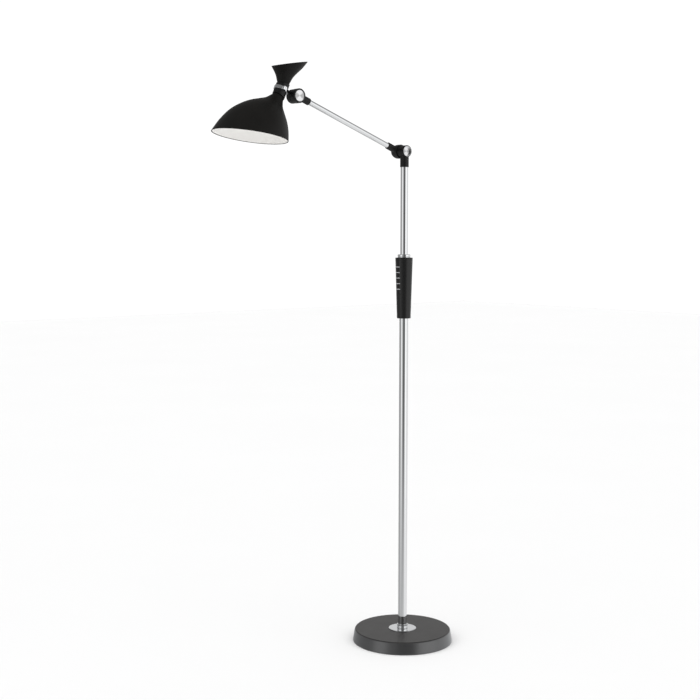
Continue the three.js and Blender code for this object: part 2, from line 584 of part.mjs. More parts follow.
function addNeck() {
  const half = NECK.length / 2;
  lamp.updateMatrixWorld(true);
  const toNeck = neck.matrixWorld.clone().invert();
  const slab = (frame) => block([-60, -60, -GAP], [60, 60, 60])
    .applyMatrix4(frame.matrixWorld).applyMatrix4(toNeck);
  const screwBore = alongX(rod(STUB.screwRadius + GAP, 0, NECK.radius + BAND.thickness + OVERRUN, 12))
    .translate(0, 0, NECK.rise);
  const collar = solid(tube(NECK.bore, NECK.radius, -half - 5, half + 5, 36));
  piece(neck, 'neck_collar', cut(collar, slab(bell), slab(flare), screwBore.clone()), FINISH.black);

  const bandLow = BAND.rise - BAND.height / 2;
  const bandHigh = bandLow + BAND.height;
  const bandInner = NECK.radius + GAP;
  const bandOuter = bandInner + BAND.thickness;
  piece(neck, 'neck_band', cut(
    solid(tube(bandInner, bandOuter, bandLow, bandHigh, 36)), screwBore.clone(),
  ), FINISH.chrome);

  const clampBlock = block(
    [0, -BLOCK.width / 2, BAND.rise - BLOCK.height / 2],
    [bandOuter + BLOCK.depth, BLOCK.width / 2, BAND.rise + BLOCK.height / 2],
  ).rotateZ(radians(BLOCK.turn));
  piece(neck, 'band_block', cut(
    solid(clampBlock), rod(bandOuter + GAP, bandLow - OVERRUN, bandHigh + OVERRUN, 36),
  ), FINISH.chrome);

  const tubeReach = half + NECK_TUBE.beyond;
  piece(neck, 'neck_tube', tube(NECK_TUBE.bore, NECK_TUBE.radius, -tubeReach, tubeReach + 4, 20), FINISH.steel);
  const nutLow = half + NECK_TUBE.nutRise;
  piece(neck, 'neck_nut', hexNut(
    NECK_TUBE.radius + GAP, NECK_TUBE.nutRadius, nutLow, nutLow + NECK_TUBE.nutHeight,
  ), FINISH.steel);

  const headInner = NECK.bore - GAP - STUB.headHeight;
  const headOuter = NECK.bore - GAP - 0.4;
  const tip = NECK.radius + GAP + STUB.screwDepth - 1;
  piece(neck, 'stub_screw', alongX(turned([
    [0, headInner], [STUB.headRadius, headInner], [STUB.headRadius, headOuter], [STUB.screwRadius, headOuter],
    [STUB.screwRadius, tip], [0, tip],
  ], 12)), FINISH.steel).position.z = NECK.rise;

  const stubEnd = NECK.reach - NECK.radius - GAP;
  const stub = alongX(rod(STUB.radius, -stubEnd, 0, 20)).translate(0, NECK.plane, 0);
  const stubHole = alongX(rod(STUB.screwRadius + GAP, -stubEnd - 1, -stubEnd + STUB.screwDepth, 12))
    .translate(0, NECK.plane, 0);
  const bandRoom = rod(bandOuter + GAP, bandLow - GAP - NECK.rise, bandHigh + GAP - NECK.rise, 36)
    .translate(-NECK.reach, NECK.plane, 0);
  piece(knuckle, 'head_neck_half', farHalf(HEAD, stub, stubHole, bandRoom), FINISH.black);
  addHingeHardware(armEnd, knuckle, 'head', HEAD);
}

addBase();
addSupplyLead();
addGrip();
addTwistLock();
addUpperPole();
addElbowAndArm();
addShades();
addLightEngine();
addNeck();

export default lamp;
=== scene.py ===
import json
import logging
import math
from dataclasses import dataclass
from enum import Enum
from typing import Iterable, Sequence, Union

import bpy
from mathutils import Matrix, Vector


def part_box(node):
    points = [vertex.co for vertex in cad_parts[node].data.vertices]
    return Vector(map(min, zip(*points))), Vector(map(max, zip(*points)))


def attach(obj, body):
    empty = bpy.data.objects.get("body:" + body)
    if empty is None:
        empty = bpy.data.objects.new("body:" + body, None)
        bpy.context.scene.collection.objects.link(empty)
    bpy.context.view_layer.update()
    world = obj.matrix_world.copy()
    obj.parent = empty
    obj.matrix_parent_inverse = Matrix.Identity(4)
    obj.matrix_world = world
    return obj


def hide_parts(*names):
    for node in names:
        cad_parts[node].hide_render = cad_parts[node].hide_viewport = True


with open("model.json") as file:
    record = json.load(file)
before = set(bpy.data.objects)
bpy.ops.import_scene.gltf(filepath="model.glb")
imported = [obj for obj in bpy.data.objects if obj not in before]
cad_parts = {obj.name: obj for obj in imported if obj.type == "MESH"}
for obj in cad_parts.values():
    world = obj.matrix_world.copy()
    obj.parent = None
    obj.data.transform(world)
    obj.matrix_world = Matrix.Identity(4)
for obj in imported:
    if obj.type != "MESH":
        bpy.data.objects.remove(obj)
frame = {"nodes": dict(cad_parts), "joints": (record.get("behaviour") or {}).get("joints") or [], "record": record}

LOG = logging.getLogger("floor_lamp")
FULL_TURN = 2 * math.pi
FINE_FACETS = 96
WELD = 1e-6
# Clearance between pieces, the lengths that soft corners take, and how far a cutter passes a face.
GAP = 0.0003
WHITE = (1, 1, 1, 1)
HAIR, CRISP, SOFT, ROUND = 0.0002, 0.0003, 0.0004, 0.0007
PASS = 0.002
CAST_PASSES = 6
Number = Union[int, float]
Triple = tuple[float, float, float]
Piece = bpy.types.Object
Socket = bpy.types.NodeSocket
Material = bpy.types.Material


# ---------------------------------------------------------------- modelling bench


class Combine(Enum):
    """How one solid is combined with another."""

    UNION = "UNION"
    DIFFERENCE = "DIFFERENCE"


@dataclass(frozen=True)
class Corner:
    """One corner of a turned outline, with the length of edge that its rounding takes."""

    radius: float
    height: float
    soft: float = 0.0


def rounded(corners: Sequence[Corner], closed: bool = True, steps: int = 4) -> list[tuple[float, float]]:
    """Turn corners into outline points, each soft corner eased by a curve.

    Args:
        corners: the corners in order.
        closed: whether the outline returns to its first corner.
        steps: number of curve segments at a soft corner.

    Returns:
        Points as (radius, height).
    """
    points = []
    count = len(corners)
    for index, corner in enumerate(corners):
        here = Vector((corner.radius, corner.height))
        if corner.soft <= 0:
            points.append(tuple(here))
            continue
        before, after = corners[index - 1], corners[(index + 1) % count]
        to_before = (Vector((before.radius, before.height)) - here).normalized() * corner.soft
        to_after = (Vector((after.radius, after.height)) - here).normalized() * corner.soft
        for step in range(steps + 1):
            t = step / steps
            points.append(tuple(here + to_before * (1 - t) ** 2 + to_after * t ** 2))
    if closed:
        points.append(points[0])
    return points


def smooth_line(points: Sequence[tuple[float, float]], steps: int) -> list[Vector]:
    """Sample a Catmull-Rom curve through the points.

    Args:
        points: the points that the curve passes through.
        steps: number of segments of the result.

    Returns:
        The sampled points.
    """
    knots = [Vector(p) for p in points]
    last = len(knots) - 1
    samples = []
    for step in range(steps + 1):
        place = last * step / steps
        index = min(int(place), last - 1)
        t = place - index
        p0, p1 = knots[max(index - 1, 0)], knots[index]
        p2, p3 = knots[index + 1], knots[min(index + 2, last)]
        v0, v1 = (p2 - p0) / 2, (p3 - p1) / 2
        samples.append(
            (2 * p1 - 2 * p2 + v0 + v1) * t ** 3 + (3 * p2 - 3 * p1 - 2 * v0 - v1) * t ** 2 + v0 * t + p1
        )
    return samples


def offset_line(line: Sequence[Vector], depth: float) -> list[Vector]:
    """Move a curve sideways, towards the axis for a shade whose outline climbs away from its neck."""
    moved = []
    for index, point in enumerate(line):
        ahead = line[min(index + 1, len(line) - 1)] - line[max(index - 1, 0)]
        side = Vector((-ahead.y, ahead.x)).normalized()
        moved.append(point + side * depth)
    return moved


class Bench:
    """Mesh operators on one new piece at a time."""

    @staticmethod
    def only(piece: Piece) -> None:
        """Select one object and make it active."""
        bpy.ops.object.select_all(action="DESELECT")
        piece.select_set(True)
        bpy.context.view_layer.objects.active = piece

    @staticmethod
    def turned(
        name: str, outline: Iterable[Sequence[float]], facets: int = FINE_FACETS,
        start: float = 0.0, sweep: float = FULL_TURN,
    ) -> Piece:
        """Extrude a vertex along an outline and spin it about +Z.

        Args:
            name: name of the new piece.
            outline: (radius, height) points; a closed outline ends where it starts.
            facets: number of spin steps.
            start: angle at which the spin starts.
            sweep: angle of the spin; less than a full turn leaves a plate with two end faces.

        Returns:
            The new piece.
        """
        points = [Vector((r * math.cos(start), r * math.sin(start), z)) for r, z in outline]
        bpy.ops.object.select_all(action="DESELECT")
        bpy.ops.mesh.primitive_plane_add(size=0.001)
        piece = bpy.context.object
        piece.name = piece.data.name = name
        bpy.ops.object.mode_set(mode="EDIT")
        bpy.ops.mesh.merge(type="CENTER")
        bpy.ops.transform.translate(value=points[0])
        for here, there in zip(points, points[1:]):
            bpy.ops.mesh.extrude_region_move(TRANSFORM_OT_translate={"value": there - here})
        bpy.ops.mesh.select_all(action="SELECT")
        if sweep < FULL_TURN:
            bpy.ops.mesh.remove_doubles(threshold=WELD)
            bpy.ops.mesh.select_all(action="SELECT")
            bpy.ops.mesh.edge_face_add()
        bpy.ops.mesh.spin(steps=facets, angle=-sweep, center=(0, 0, 0), axis=(0, 0, 1))
        bpy.ops.mesh.select_all(action="SELECT")
        bpy.ops.mesh.remove_doubles(threshold=WELD)
        bpy.ops.mesh.normals_make_consistent(inside=False)
        bpy.ops.object.mode_set(mode="OBJECT")
        return piece

    @staticmethod
    def lathe(
        name: str, corners: Sequence[Corner], facets: int = FINE_FACETS, closed: bool = True,
    ) -> Piece:
        """Turn a solid from the corners of its outline."""
        return Bench.turned(name, rounded(corners, closed), facets)

    @staticmethod
    def ring(
        name: str, bore: float, radius: float, low: float, high: float, soft: float = 0.0,
        facets: int = FINE_FACETS,
    ) -> Piece:
        """Turn a plain ring, or a rod when its bore is 0, with its outer edges softened."""
        return Bench.lathe(name, [
            Corner(bore, low), Corner(radius, low, soft), Corner(radius, high, soft), Corner(bore, high),
        ], facets)

    @staticmethod
    def block(
        name: str, low: Sequence[float], high: Sequence[float], bevel: float = 0.0,
    ) -> Piece:
        """Make a box between two corners, with rounded edges if asked."""
        size = [h - l for l, h in zip(low, high)]
        centre = [(h + l) / 2 for l, h in zip(low, high)]
        bpy.ops.object.select_all(action="DESELECT")
        bpy.ops.mesh.primitive_cube_add(size=1)
        piece = bpy.context.object
        piece.name = piece.data.name = name
        bpy.ops.object.mode_set(mode="EDIT")
        bpy.ops.mesh.select_all(action="SELECT")
        bpy.ops.transform.resize(value=size)
        bpy.ops.transform.translate(value=centre)
        if bevel > 0:
            bpy.ops.mesh.bevel(offset=bevel, segments=4, affect="EDGES")
        bpy.ops.object.mode_set(mode="OBJECT")
        return piece

    @staticmethod
    def modify(piece: Piece, kind: str, **settings: object) -> None:
        """Add one modifier with its settings and apply it."""
        Bench.only(piece)
        bpy.ops.object.modifier_add(type=kind)
        modifier = piece.modifiers[-1]
        for key, value in settings.items():
            setattr(modifier, key, value)
        bpy.ops.object.modifier_apply(modifier=modifier.name)

    @staticmethod
    def combine(piece: Piece, tool: Piece, how: Combine) -> Piece:
        """Combine a piece with a tool solid, which is used up."""
        Bench.modify(piece, "BOOLEAN", object=tool, operation=how.value, solver="EXACT")
        bpy.data.objects.remove(tool)
        return piece

    @staticmethod
    def slice_off(piece: Piece, point: Vector, normal: Vector) -> None:
        """Cut away all of a piece that lies beyond a plane, on the side its normal points to."""
        Bench.only(piece)
        bpy.ops.object.mode_set(mode="EDIT")
        bpy.ops.mesh.select_all(action="SELECT")
        bpy.ops.mesh.bisect(plane_co=point, plane_no=normal, clear_outer=True)
        bpy.ops.object.mode_set(mode="OBJECT")

    @staticmethod
    def cast(piece: Piece, voxel: float, passes: int) -> None:
        """Blend a joined solid into one casting with soft fillets where its parts meet."""
        Bench.modify(piece, "REMESH", mode="VOXEL", voxel_size=voxel, use_smooth_shade=True)
        Bench.modify(piece, "SMOOTH", factor=0.5, iterations=passes)

    @staticmethod
    def soften(piece: Piece, width: float, angle: float) -> None:
        """Round every edge sharper than an angle in degrees."""
        limit = math.radians(angle)
        Bench.modify(piece, "BEVEL", width=width, segments=3, limit_method="ANGLE", angle_limit=limit)

    @staticmethod
    def place(piece: Piece, matrix: Matrix) -> Piece:
        """Move a piece's mesh from its own frame to the lamp's."""
        piece.data.transform(matrix)
        return piece

    @staticmethod
    def shade(piece: Piece, angle: float = 32.0) -> None:
        """Shade smooth except across edges sharper than an angle in degrees."""
        Bench.only(piece)
        bpy.ops.object.shade_smooth_by_angle(angle=math.radians(angle))
        Bench.modify(piece, "WEIGHTED_NORMAL", mode="FACE_AREA", weight=80, keep_sharp=True)


ALONG_Y = Matrix.Rotation(-math.pi / 2, 4, "X")
ALONG_X = Matrix.Rotation(math.pi / 2, 4, "Y")


def tilted_frame(origin: Vector, tilt: float) -> Matrix:
    """A frame at origin, turned about Y by tilt in radians."""
    return Matrix.Translation(origin) @ Matrix.Rotation(tilt, 4, "Y")


# ---------------------------------------------------------------- shader writing


class Wire:
    """A shader value whose arithmetic adds Math nodes to its recipe."""

    def __init__(self, recipe: "Recipe", socket: Socket) -> None:
        """Wrap a socket of a recipe."""
        self.recipe = recipe
        self.socket = socket

    def _math(self, operation: str, first: "Operand", second: "Operand" = 0.0) -> "Wire":
        """Add one Math node."""
        node = self.recipe.node("ShaderNodeMath", {"operation": operation}, {0: first, 1: second})
        return Wire(self.recipe, node.outputs[0])

    def __add__(self, other: "Operand") -> "Wire":
        """Sum."""
        return self._math("ADD", self, other)

    def __mul__(self, other: "Operand") -> "Wire":
        """Product."""
        return self._math("MULTIPLY", self, other)

    def __sub__(self, other: "Operand") -> "Wire":
        """Difference."""
        return self._math("SUBTRACT", self, other)

    def __rsub__(self, other: "Operand") -> "Wire":
        """Difference from a number."""
        return self._math("SUBTRACT", other, self)

    def over(self, other: "Operand") -> "Wire":
        """Quotient."""
        return self._math("DIVIDE", self, other)

    def sine(self) -> "Wire":
        """Sine."""
        return self._math("SINE", self)

    def angle_from(self, other: "Wire") -> "Wire":
        """Angle whose sine part is this value and cosine part the other."""
        return self._math("ARCTAN2", self, other)

    def ease(self, low: float, high: float, start: float = 0.0, end: float = 1.0) -> "Wire":
        """Rise smoothly from start to end as the value goes from low to high."""
        node = self.recipe.node(
            "ShaderNodeMapRange", {"interpolation_type": "SMOOTHSTEP", "clamp": True},
            {"Value": self, "From Min": low, "From Max": high, "To Min": start, "To Max": end},
        )
        return Wire(self.recipe, node.outputs[0])


Operand = Union[Wire, Number]


class Recipe:
    """A node tree being written, of a material or of the world."""

    def __init__(self, tree: bpy.types.NodeTree) -> None:
        """Start with an empty tree."""
        self.tree = tree
        tree.nodes.clear()

    def node(self, kind: str, settings: dict, sockets: dict) -> bpy.types.Node:
        """Add a node.

        Args:
            kind: the node's type.
            settings: its own settings, set before its sockets.
            sockets: values, wires or sockets for its inputs, by name or index.

        Returns:
            The new node.
        """
        node = self.tree.nodes.new(kind)
        for key, value in settings.items():
            setattr(node, key, value)
        for key, value in sockets.items():
            source = value.socket if isinstance(value, Wire) else value
            if isinstance(source, Socket):
                self.tree.links.new(source, node.inputs[key])
            else:
                node.inputs[key].default_value = source
        return node

    def dot(self, first: Socket, second: Sequence[float]) -> Wire:
        """Dot product of a vector input and a fixed vector."""
        product = self.node("ShaderNodeVectorMath", {"operation": "DOT_PRODUCT"}, {0: first, 1: second})
        return Wire(self, product.outputs["Value"])


class Coat(Recipe):
    """A material on object coordinates, ending in one Principled shader."""

    def __init__(self, name: str) -> None:
        """Make the material and its coordinates."""
        self.material = bpy.data.materials.new(name)
        self.material.use_nodes = True
        super().__init__(self.material.node_tree)
        self.place = self.node("ShaderNodeTexCoord", {}, {}).outputs["Object"]
        self.output = self.node("ShaderNodeOutputMaterial", {}, {})

    def moved(
        self, location: Sequence[float] = (0, 0, 0), scale: Sequence[float] = (1, 1, 1),
    ) -> Socket:
        """The coordinates centred on a point and scaled."""
        centred = self.node(
            "ShaderNodeVectorMath", {"operation": "SUBTRACT"}, {0: self.place, 1: tuple(location)}
        )
        return self.node(
            "ShaderNodeVectorMath", {"operation": "MULTIPLY"}, {0: centred.outputs[0], 1: tuple(scale)}
        ).outputs[0]

    def noise(self, size: float, detail: float = 3.0, where: Socket | None = None) -> Wire:
        """Soft noise from 0 to 1 whose features are about size across."""
        node = self.node(
            "ShaderNodeTexNoise", {},
            {"Vector": where or self.place, "Scale": 1 / size, "Detail": detail, "Roughness": 0.55},
        )
        return Wire(self, node.outputs[0])

    def blend(self, dark: Sequence[float], light: Sequence[float], amount: Wire) -> Socket:
        """A colour between two by an amount."""
        node = self.node(
            "ShaderNodeMix", {"data_type": "RGBA"}, {"Factor": amount, 6: (*dark, 1.0), 7: (*light, 1.0)}
        )
        return node.outputs[2]

    def bump(self, height: Wire, depth: float) -> Socket:
        """A normal roughened by a height of a given depth in metres."""
        node = self.node("ShaderNodeBump", {}, {"Height": height, "Distance": depth, "Strength": 1.0})
        return node.outputs[0]

    def finish(self, **sockets: object) -> Material:
        """Add the shader with its inputs, underscores standing for spaces, and close the material."""
        inputs = {key.replace("_", " "): value for key, value in sockets.items()}
        shader = self.node("ShaderNodeBsdfPrincipled", {}, inputs)
        self.tree.links.new(shader.outputs[0], self.output.inputs[0])
        return self.material


def dimmed(colour: Sequence[float], share: float) -> Triple:
    """A colour with a share of its light."""
    return tuple(c * share for c in colour)


def grey(value: float, warm: float = 0.0) -> Triple:
    """A grey in linear light; warm above zero leans to yellow, below zero to blue."""
    return (value * (1 + warm), value, value * (1 - warm))


# ---------------------------------------------------------------- finishes


@dataclass(frozen=True)
class PowderCoat:
    """Sprayed coat: faint orange peel, uneven gloss and a little mottling."""

    colour: Triple
    gloss: float
    mottle: float = 0.18
    peel: float = 0.0011
    depth: float = 0.000012
    specular: float = 0.5

    def material(self, name: str) -> Material:
        """Write the coat."""
        coat = Coat(name)
        cloud = coat.noise(0.035)
        fine = coat.noise(self.peel, 2.0)
        dark = dimmed(self.colour, 1 - self.mottle)
        light = dimmed(self.colour, 1 + self.mottle)
        return coat.finish(
            Base_Color=coat.blend(dark, light, cloud),
            Roughness=cloud * 0.08 + fine * 0.05 + (self.gloss - 0.065),
            Specular_IOR_Level=self.specular,
            Normal=coat.bump(fine, self.depth),
        )


@dataclass(frozen=True)
class TwoGlossCoat:
    """Dark satin coat that is glossier on the sides of a piece than on its top."""

    colour: Triple
    gloss: float
    top: float
    side_gloss: float = 0.3
    fade_from: float = 0.0024
    fade_to: float = 0.0004

    def material(self, name: str) -> Material:
        """Write the coat, clearer below the height of its top."""
        coat = Coat(name)
        cloud = coat.noise(0.035)
        fine = coat.noise(0.0011, 2.0)
        height = Wire(coat, coat.node("ShaderNodeSeparateXYZ", {}, {0: coat.place}).outputs["Z"])
        dark = dimmed(self.colour, 0.85)
        return coat.finish(
            Base_Color=coat.blend(dark, self.colour, cloud),
            Roughness=cloud * 0.08 + fine * 0.05 + (self.gloss - 0.065),
            Specular_IOR_Level=0.36,
            Coat_Weight=height.ease(self.top - self.fade_from, self.top - self.fade_to, 1.0, 0.0),
            Coat_Roughness=self.side_gloss,
            Coat_IOR=1.85,
            Coat_Tint=(0.9, 0.95, 1.0, 1.0),
            Normal=coat.bump(fine, 0.000012),
        )


@dataclass(frozen=True)
class MouldedPlastic:
    """Moulded plastic with a spark-eroded grain and slight wear to the gloss."""

    colour: Triple
    gloss: float
    grain: float = 0.0004
    depth: float = 0.000006

    def material(self, name: str) -> Material:
        """Write the plastic."""
        coat = Coat(name)
        grain = coat.noise(self.grain, 2.0)
        rubbed = coat.noise(0.02)
        dark = dimmed(self.colour, 0.85)
        return coat.finish(
            Base_Color=coat.blend(dark, self.colour, rubbed),
            Roughness=rubbed * 0.1 + (self.gloss - 0.05),
            IOR=1.48,
            Normal=coat.bump(grain, self.depth),
        )


@dataclass(frozen=True)
class PolishedChrome:
    """Mirror plating over a drawn tube, with faint polishing haze along it."""

    colour: Triple = (0.83, 0.84, 0.85)
    gloss: float = 0.045

    def material(self, name: str) -> Material:
        """Write the plating."""
        coat = Coat(name)
        haze = coat.noise(0.012, 4.0, coat.moved(scale=(1, 1, 0.12)))
        smear = coat.noise(0.06)
        dull = dimmed(self.colour, 0.94)
        return coat.finish(
            Base_Color=coat.blend(self.colour, dull, smear),
            Metallic=1.0,
            Roughness=haze * 0.03 + smear * 0.03 + (self.gloss - 0.02),
            Normal=coat.bump(haze, 0.0000004),
        )


@dataclass(frozen=True)
class SpunDisc:
    """Bright metal turned on a lathe, with fine rings about an axis along Y, and a painted reflection: a fixed
    bow-tie pattern in its colour.
    """

    centre: Triple
    pitch: float = 0.0008
    colour: Triple = (0.86, 0.86, 0.87)

    def material(self, name: str) -> Material:
        """Write the rings and the painted reflection."""
        coat = Coat(name)
        flat = coat.moved(self.centre, (1, 0, 1))
        length = coat.node("ShaderNodeVectorMath", {"operation": "LENGTH"}, {0: flat})
        radius = Wire(coat, length.outputs["Value"])
        rings = (radius * (FULL_TURN / self.pitch)).sine()
        across = coat.node("ShaderNodeSeparateXYZ", {}, {0: flat}).outputs["X"]
        share = Wire(coat, across).over(radius + WELD)
        # Painted reflection: the colour darkens to grey left and right of the disc's centre, a fixed bow-tie
        # standing in for the spun face's highlights; the fine noise mixed in is uneven tone.
        painted_reflection_sector = (share * share).ease(0.3, 0.95)
        uneven = coat.noise(0.004)
        return coat.finish(
            Base_Color=coat.blend(self.colour, grey(0.42), painted_reflection_sector * 0.8 + uneven * 0.2),
            Metallic=1.0,
            Roughness=painted_reflection_sector * 0.12 + uneven * 0.08 + 0.14,
            Normal=coat.bump(rings * 0.5, 0.00003),
        )


@dataclass(frozen=True)
class BareMetal:
    """Plain or plated metal with scattered scratches and a cloudy surface."""

    colour: Triple
    gloss: float
    pits: float = 0.002
    depth: float = 0.00001
    metallic: float = 1.0

    def material(self, name: str) -> Material:
        """Write the metal."""
        coat = Coat(name)
        cloud = coat.noise(0.01, 4.0)
        pits = coat.noise(self.pits, 4.0)
        dark = dimmed(self.colour, 0.72)
        return coat.finish(
            Base_Color=coat.blend(dark, self.colour, cloud),
            Metallic=self.metallic,
            Roughness=cloud * 0.15 + (self.gloss - 0.07),
            Normal=coat.bump(pits, self.depth),
        )


@dataclass(frozen=True)
class SoftMatt:
    """Rubber, felt, nylon and other matt stuff: two tones mixed by a fine grain."""

    dark: Triple
    light: Triple
    grain: float
    depth: float
    gloss: float = 0.8
    stretch: Triple = (1, 1, 1)

    def material(self, name: str) -> Material:
        """Write the stuff."""
        coat = Coat(name)
        grain = coat.noise(self.grain, 4.0, coat.moved(scale=self.stretch))
        return coat.finish(
            Base_Color=coat.blend(self.dark, self.light, grain.ease(0.35, 0.65)),
            Roughness=grain * 0.1 + (self.gloss - 0.05),
            Normal=coat.bump(grain, self.depth),
        )


@dataclass(frozen=True)
class LitPlastic:
    """Translucent plastic with a glow in its own colour; on the diffuser, with no light source behind it, the glow
    is painted light.
    """

    colour: Triple
    glow: float

    def material(self, name: str) -> Material:
        """Write the plastic."""
        coat = Coat(name)
        cloud = coat.noise(0.003)
        dark = dimmed(self.colour, 0.93)
        colour = coat.blend(dark, self.colour, cloud)
        return coat.finish(
            Base_Color=colour,
            Roughness=cloud * 0.1 + 0.35,
            Emission_Color=colour,
            Emission_Strength=self.glow,
            Normal=coat.bump(cloud, 0.000005),
        )


@dataclass(frozen=True)
class CircuitBoard:
    """Green solder mask with paler tracks in a square mesh."""

    def material(self, name: str) -> Material:
        """Write the board."""
        coat = Coat(name)
        tracks = coat.node(
            "ShaderNodeTexBrick", {"offset": 0.37, "squash": 1.4},
            {"Vector": coat.place, "Scale": 260.0, "Mortar Size": 0.012, "Color1": (0, 0, 0, 1),
             "Color2": (0.1, 0.1, 0.1, 1), "Mortar": (1, 1, 1, 1)},
        )
        amount = Wire(coat, tracks.outputs["Fac"])
        return coat.finish(
            Base_Color=coat.blend((0.01, 0.07, 0.035), (0.05, 0.2, 0.09), amount),
            Roughness=amount * 0.1 + 0.35, Normal=coat.bump(amount, 0.00002),
        )


class Palette:
    """Every finish of the lamp, by the record's slot names."""

    def __init__(self, elbow_disc: Vector, head_disc: Vector) -> None:
        """Write all materials.

        Args:
            elbow_disc: centre of the elbow's bright disc.
            head_disc: centre of the head hinge's bright disc.
        """
        self.slots = {
            "base_coat": TwoGlossCoat((0.025, 0.0235, 0.0225), 0.38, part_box("base_shell")[1].z),
            "shade_paint": PowderCoat((0.0068, 0.0064, 0.0058), 0.5, specular=0.16),
            "knuckle_black": PowderCoat(grey(0.005), 0.4, peel=0.0007, specular=0.3),
            "grip_plastic": MouldedPlastic(grey(0.004), 0.34),
            "panel_gloss": MouldedPlastic(grey(0.003), 0.2, grain=0.002, depth=0.000002),
            "touch_light": LitPlastic((0.42, 0.43, 0.44), 0.0),
            "chrome": PolishedChrome(),
            "cast_iron": BareMetal(grey(0.09), 0.75, pits=0.0012, depth=0.00012, metallic=0.6),
            "steel": BareMetal((0.5, 0.51, 0.52), 0.32),
            "rubber": SoftMatt(grey(0.012), grey(0.022), 0.0012, 0.00003),
            "felt": SoftMatt(grey(0.02), grey(0.06), 0.0016, 0.0003, 0.95, (1, 2.6, 1)),
            "nylon": SoftMatt((0.62, 0.6, 0.54), (0.74, 0.72, 0.65), 0.004, 0.00001, 0.5),
            "fibre": SoftMatt((0.012, 0.012, 0.012), (0.022, 0.021, 0.02), 0.0007, 0.00003, 0.9),
            "board": CircuitBoard(),
            "white_paint": PowderCoat((0.93, 0.92, 0.9), 0.5, mottle=0.02),
            # Painted light: the diffuser glows faintly to brighten the inside of the bell; no lamp stands behind
            # it.
            "lens": LitPlastic((0.93, 0.92, 0.9), 0.25),
            "aluminium": BareMetal((0.66, 0.67, 0.68), 0.38, pits=0.0008),
            "cable": SoftMatt(grey(0.012), grey(0.02), 0.002, 0.00001, 0.6),
        }
        self.made = {slot: stuff.material(slot) for slot, stuff in self.slots.items()}
        self.discs = {
            "elbow": SpunDisc(tuple(elbow_disc)).material("spun_elbow"),
            "head": SpunDisc(tuple(head_disc)).material("spun_head"),
        }

    def dress(self, piece: Piece, slot: str, special: Material | None = None) -> None:
        """Give a piece one finish: the slot's, or a special one in its place."""
        piece.data.materials.clear()
        piece.data.materials.append(special or self.made[slot])


# ---------------------------------------------------------------- sub-assemblies


class SubAssembly:
    """Shared by all sub-assemblies: handing a finished piece to the frame."""

    def __init__(self, palette: Palette) -> None:
        """Keep the palette."""
        self.palette = palette

    def hand_over(
        self, piece: Piece, body: str, slot: str, nodes: Sequence[str],
        special: Material | None = None, angle: float = 32.0,
    ) -> Piece:
        """Shade, dress and attach a piece.

        Args:
            piece: the finished mesh, in the lamp's frame.
            body: CAD body that it rides on.
            slot: the record's material slot.
            nodes: CAD nodes that it stands for.
            special: a material to use in place of the slot's.
            angle: sharpest smooth edge, in degrees.

        Returns:
            The piece.
        """
        Bench.shade(piece, angle)
        self.palette.dress(piece, slot, special)
        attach(piece, body)
        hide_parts(*nodes)
        LOG.info("%s: %d faces on %s", piece.name, len(piece.data.polygons), body)
        return piece


@dataclass(frozen=True)
class BaseSizes:
    """Sizes of the base that the frame doesn't give."""

    top_radius: float = 0.1223
    skirt: float = 0.003
    wall: float = 0.0014
    shoulder: float = 0.0022
    hole: float = 0.0054
    bevel: float = 0.0008
    bevel_rise: float = 0.0006
    crown_inset: float = 0.0016
    cover_facets: int = 160
    gland_bore: float = 0.0045
    gland_from: float = 0.11
    gland_past: float = 0.01
    drill_facets: int = 32
    flange_bevel: float = 0.0012
    boss_bore: float = 0.0114
    boss_floor: float = 0.0032
    boss_foot: float = 0.0014
    boss_waist: float = 0.0007
    boss_slope: float = 0.0006
    boss_lip: float = 0.0024


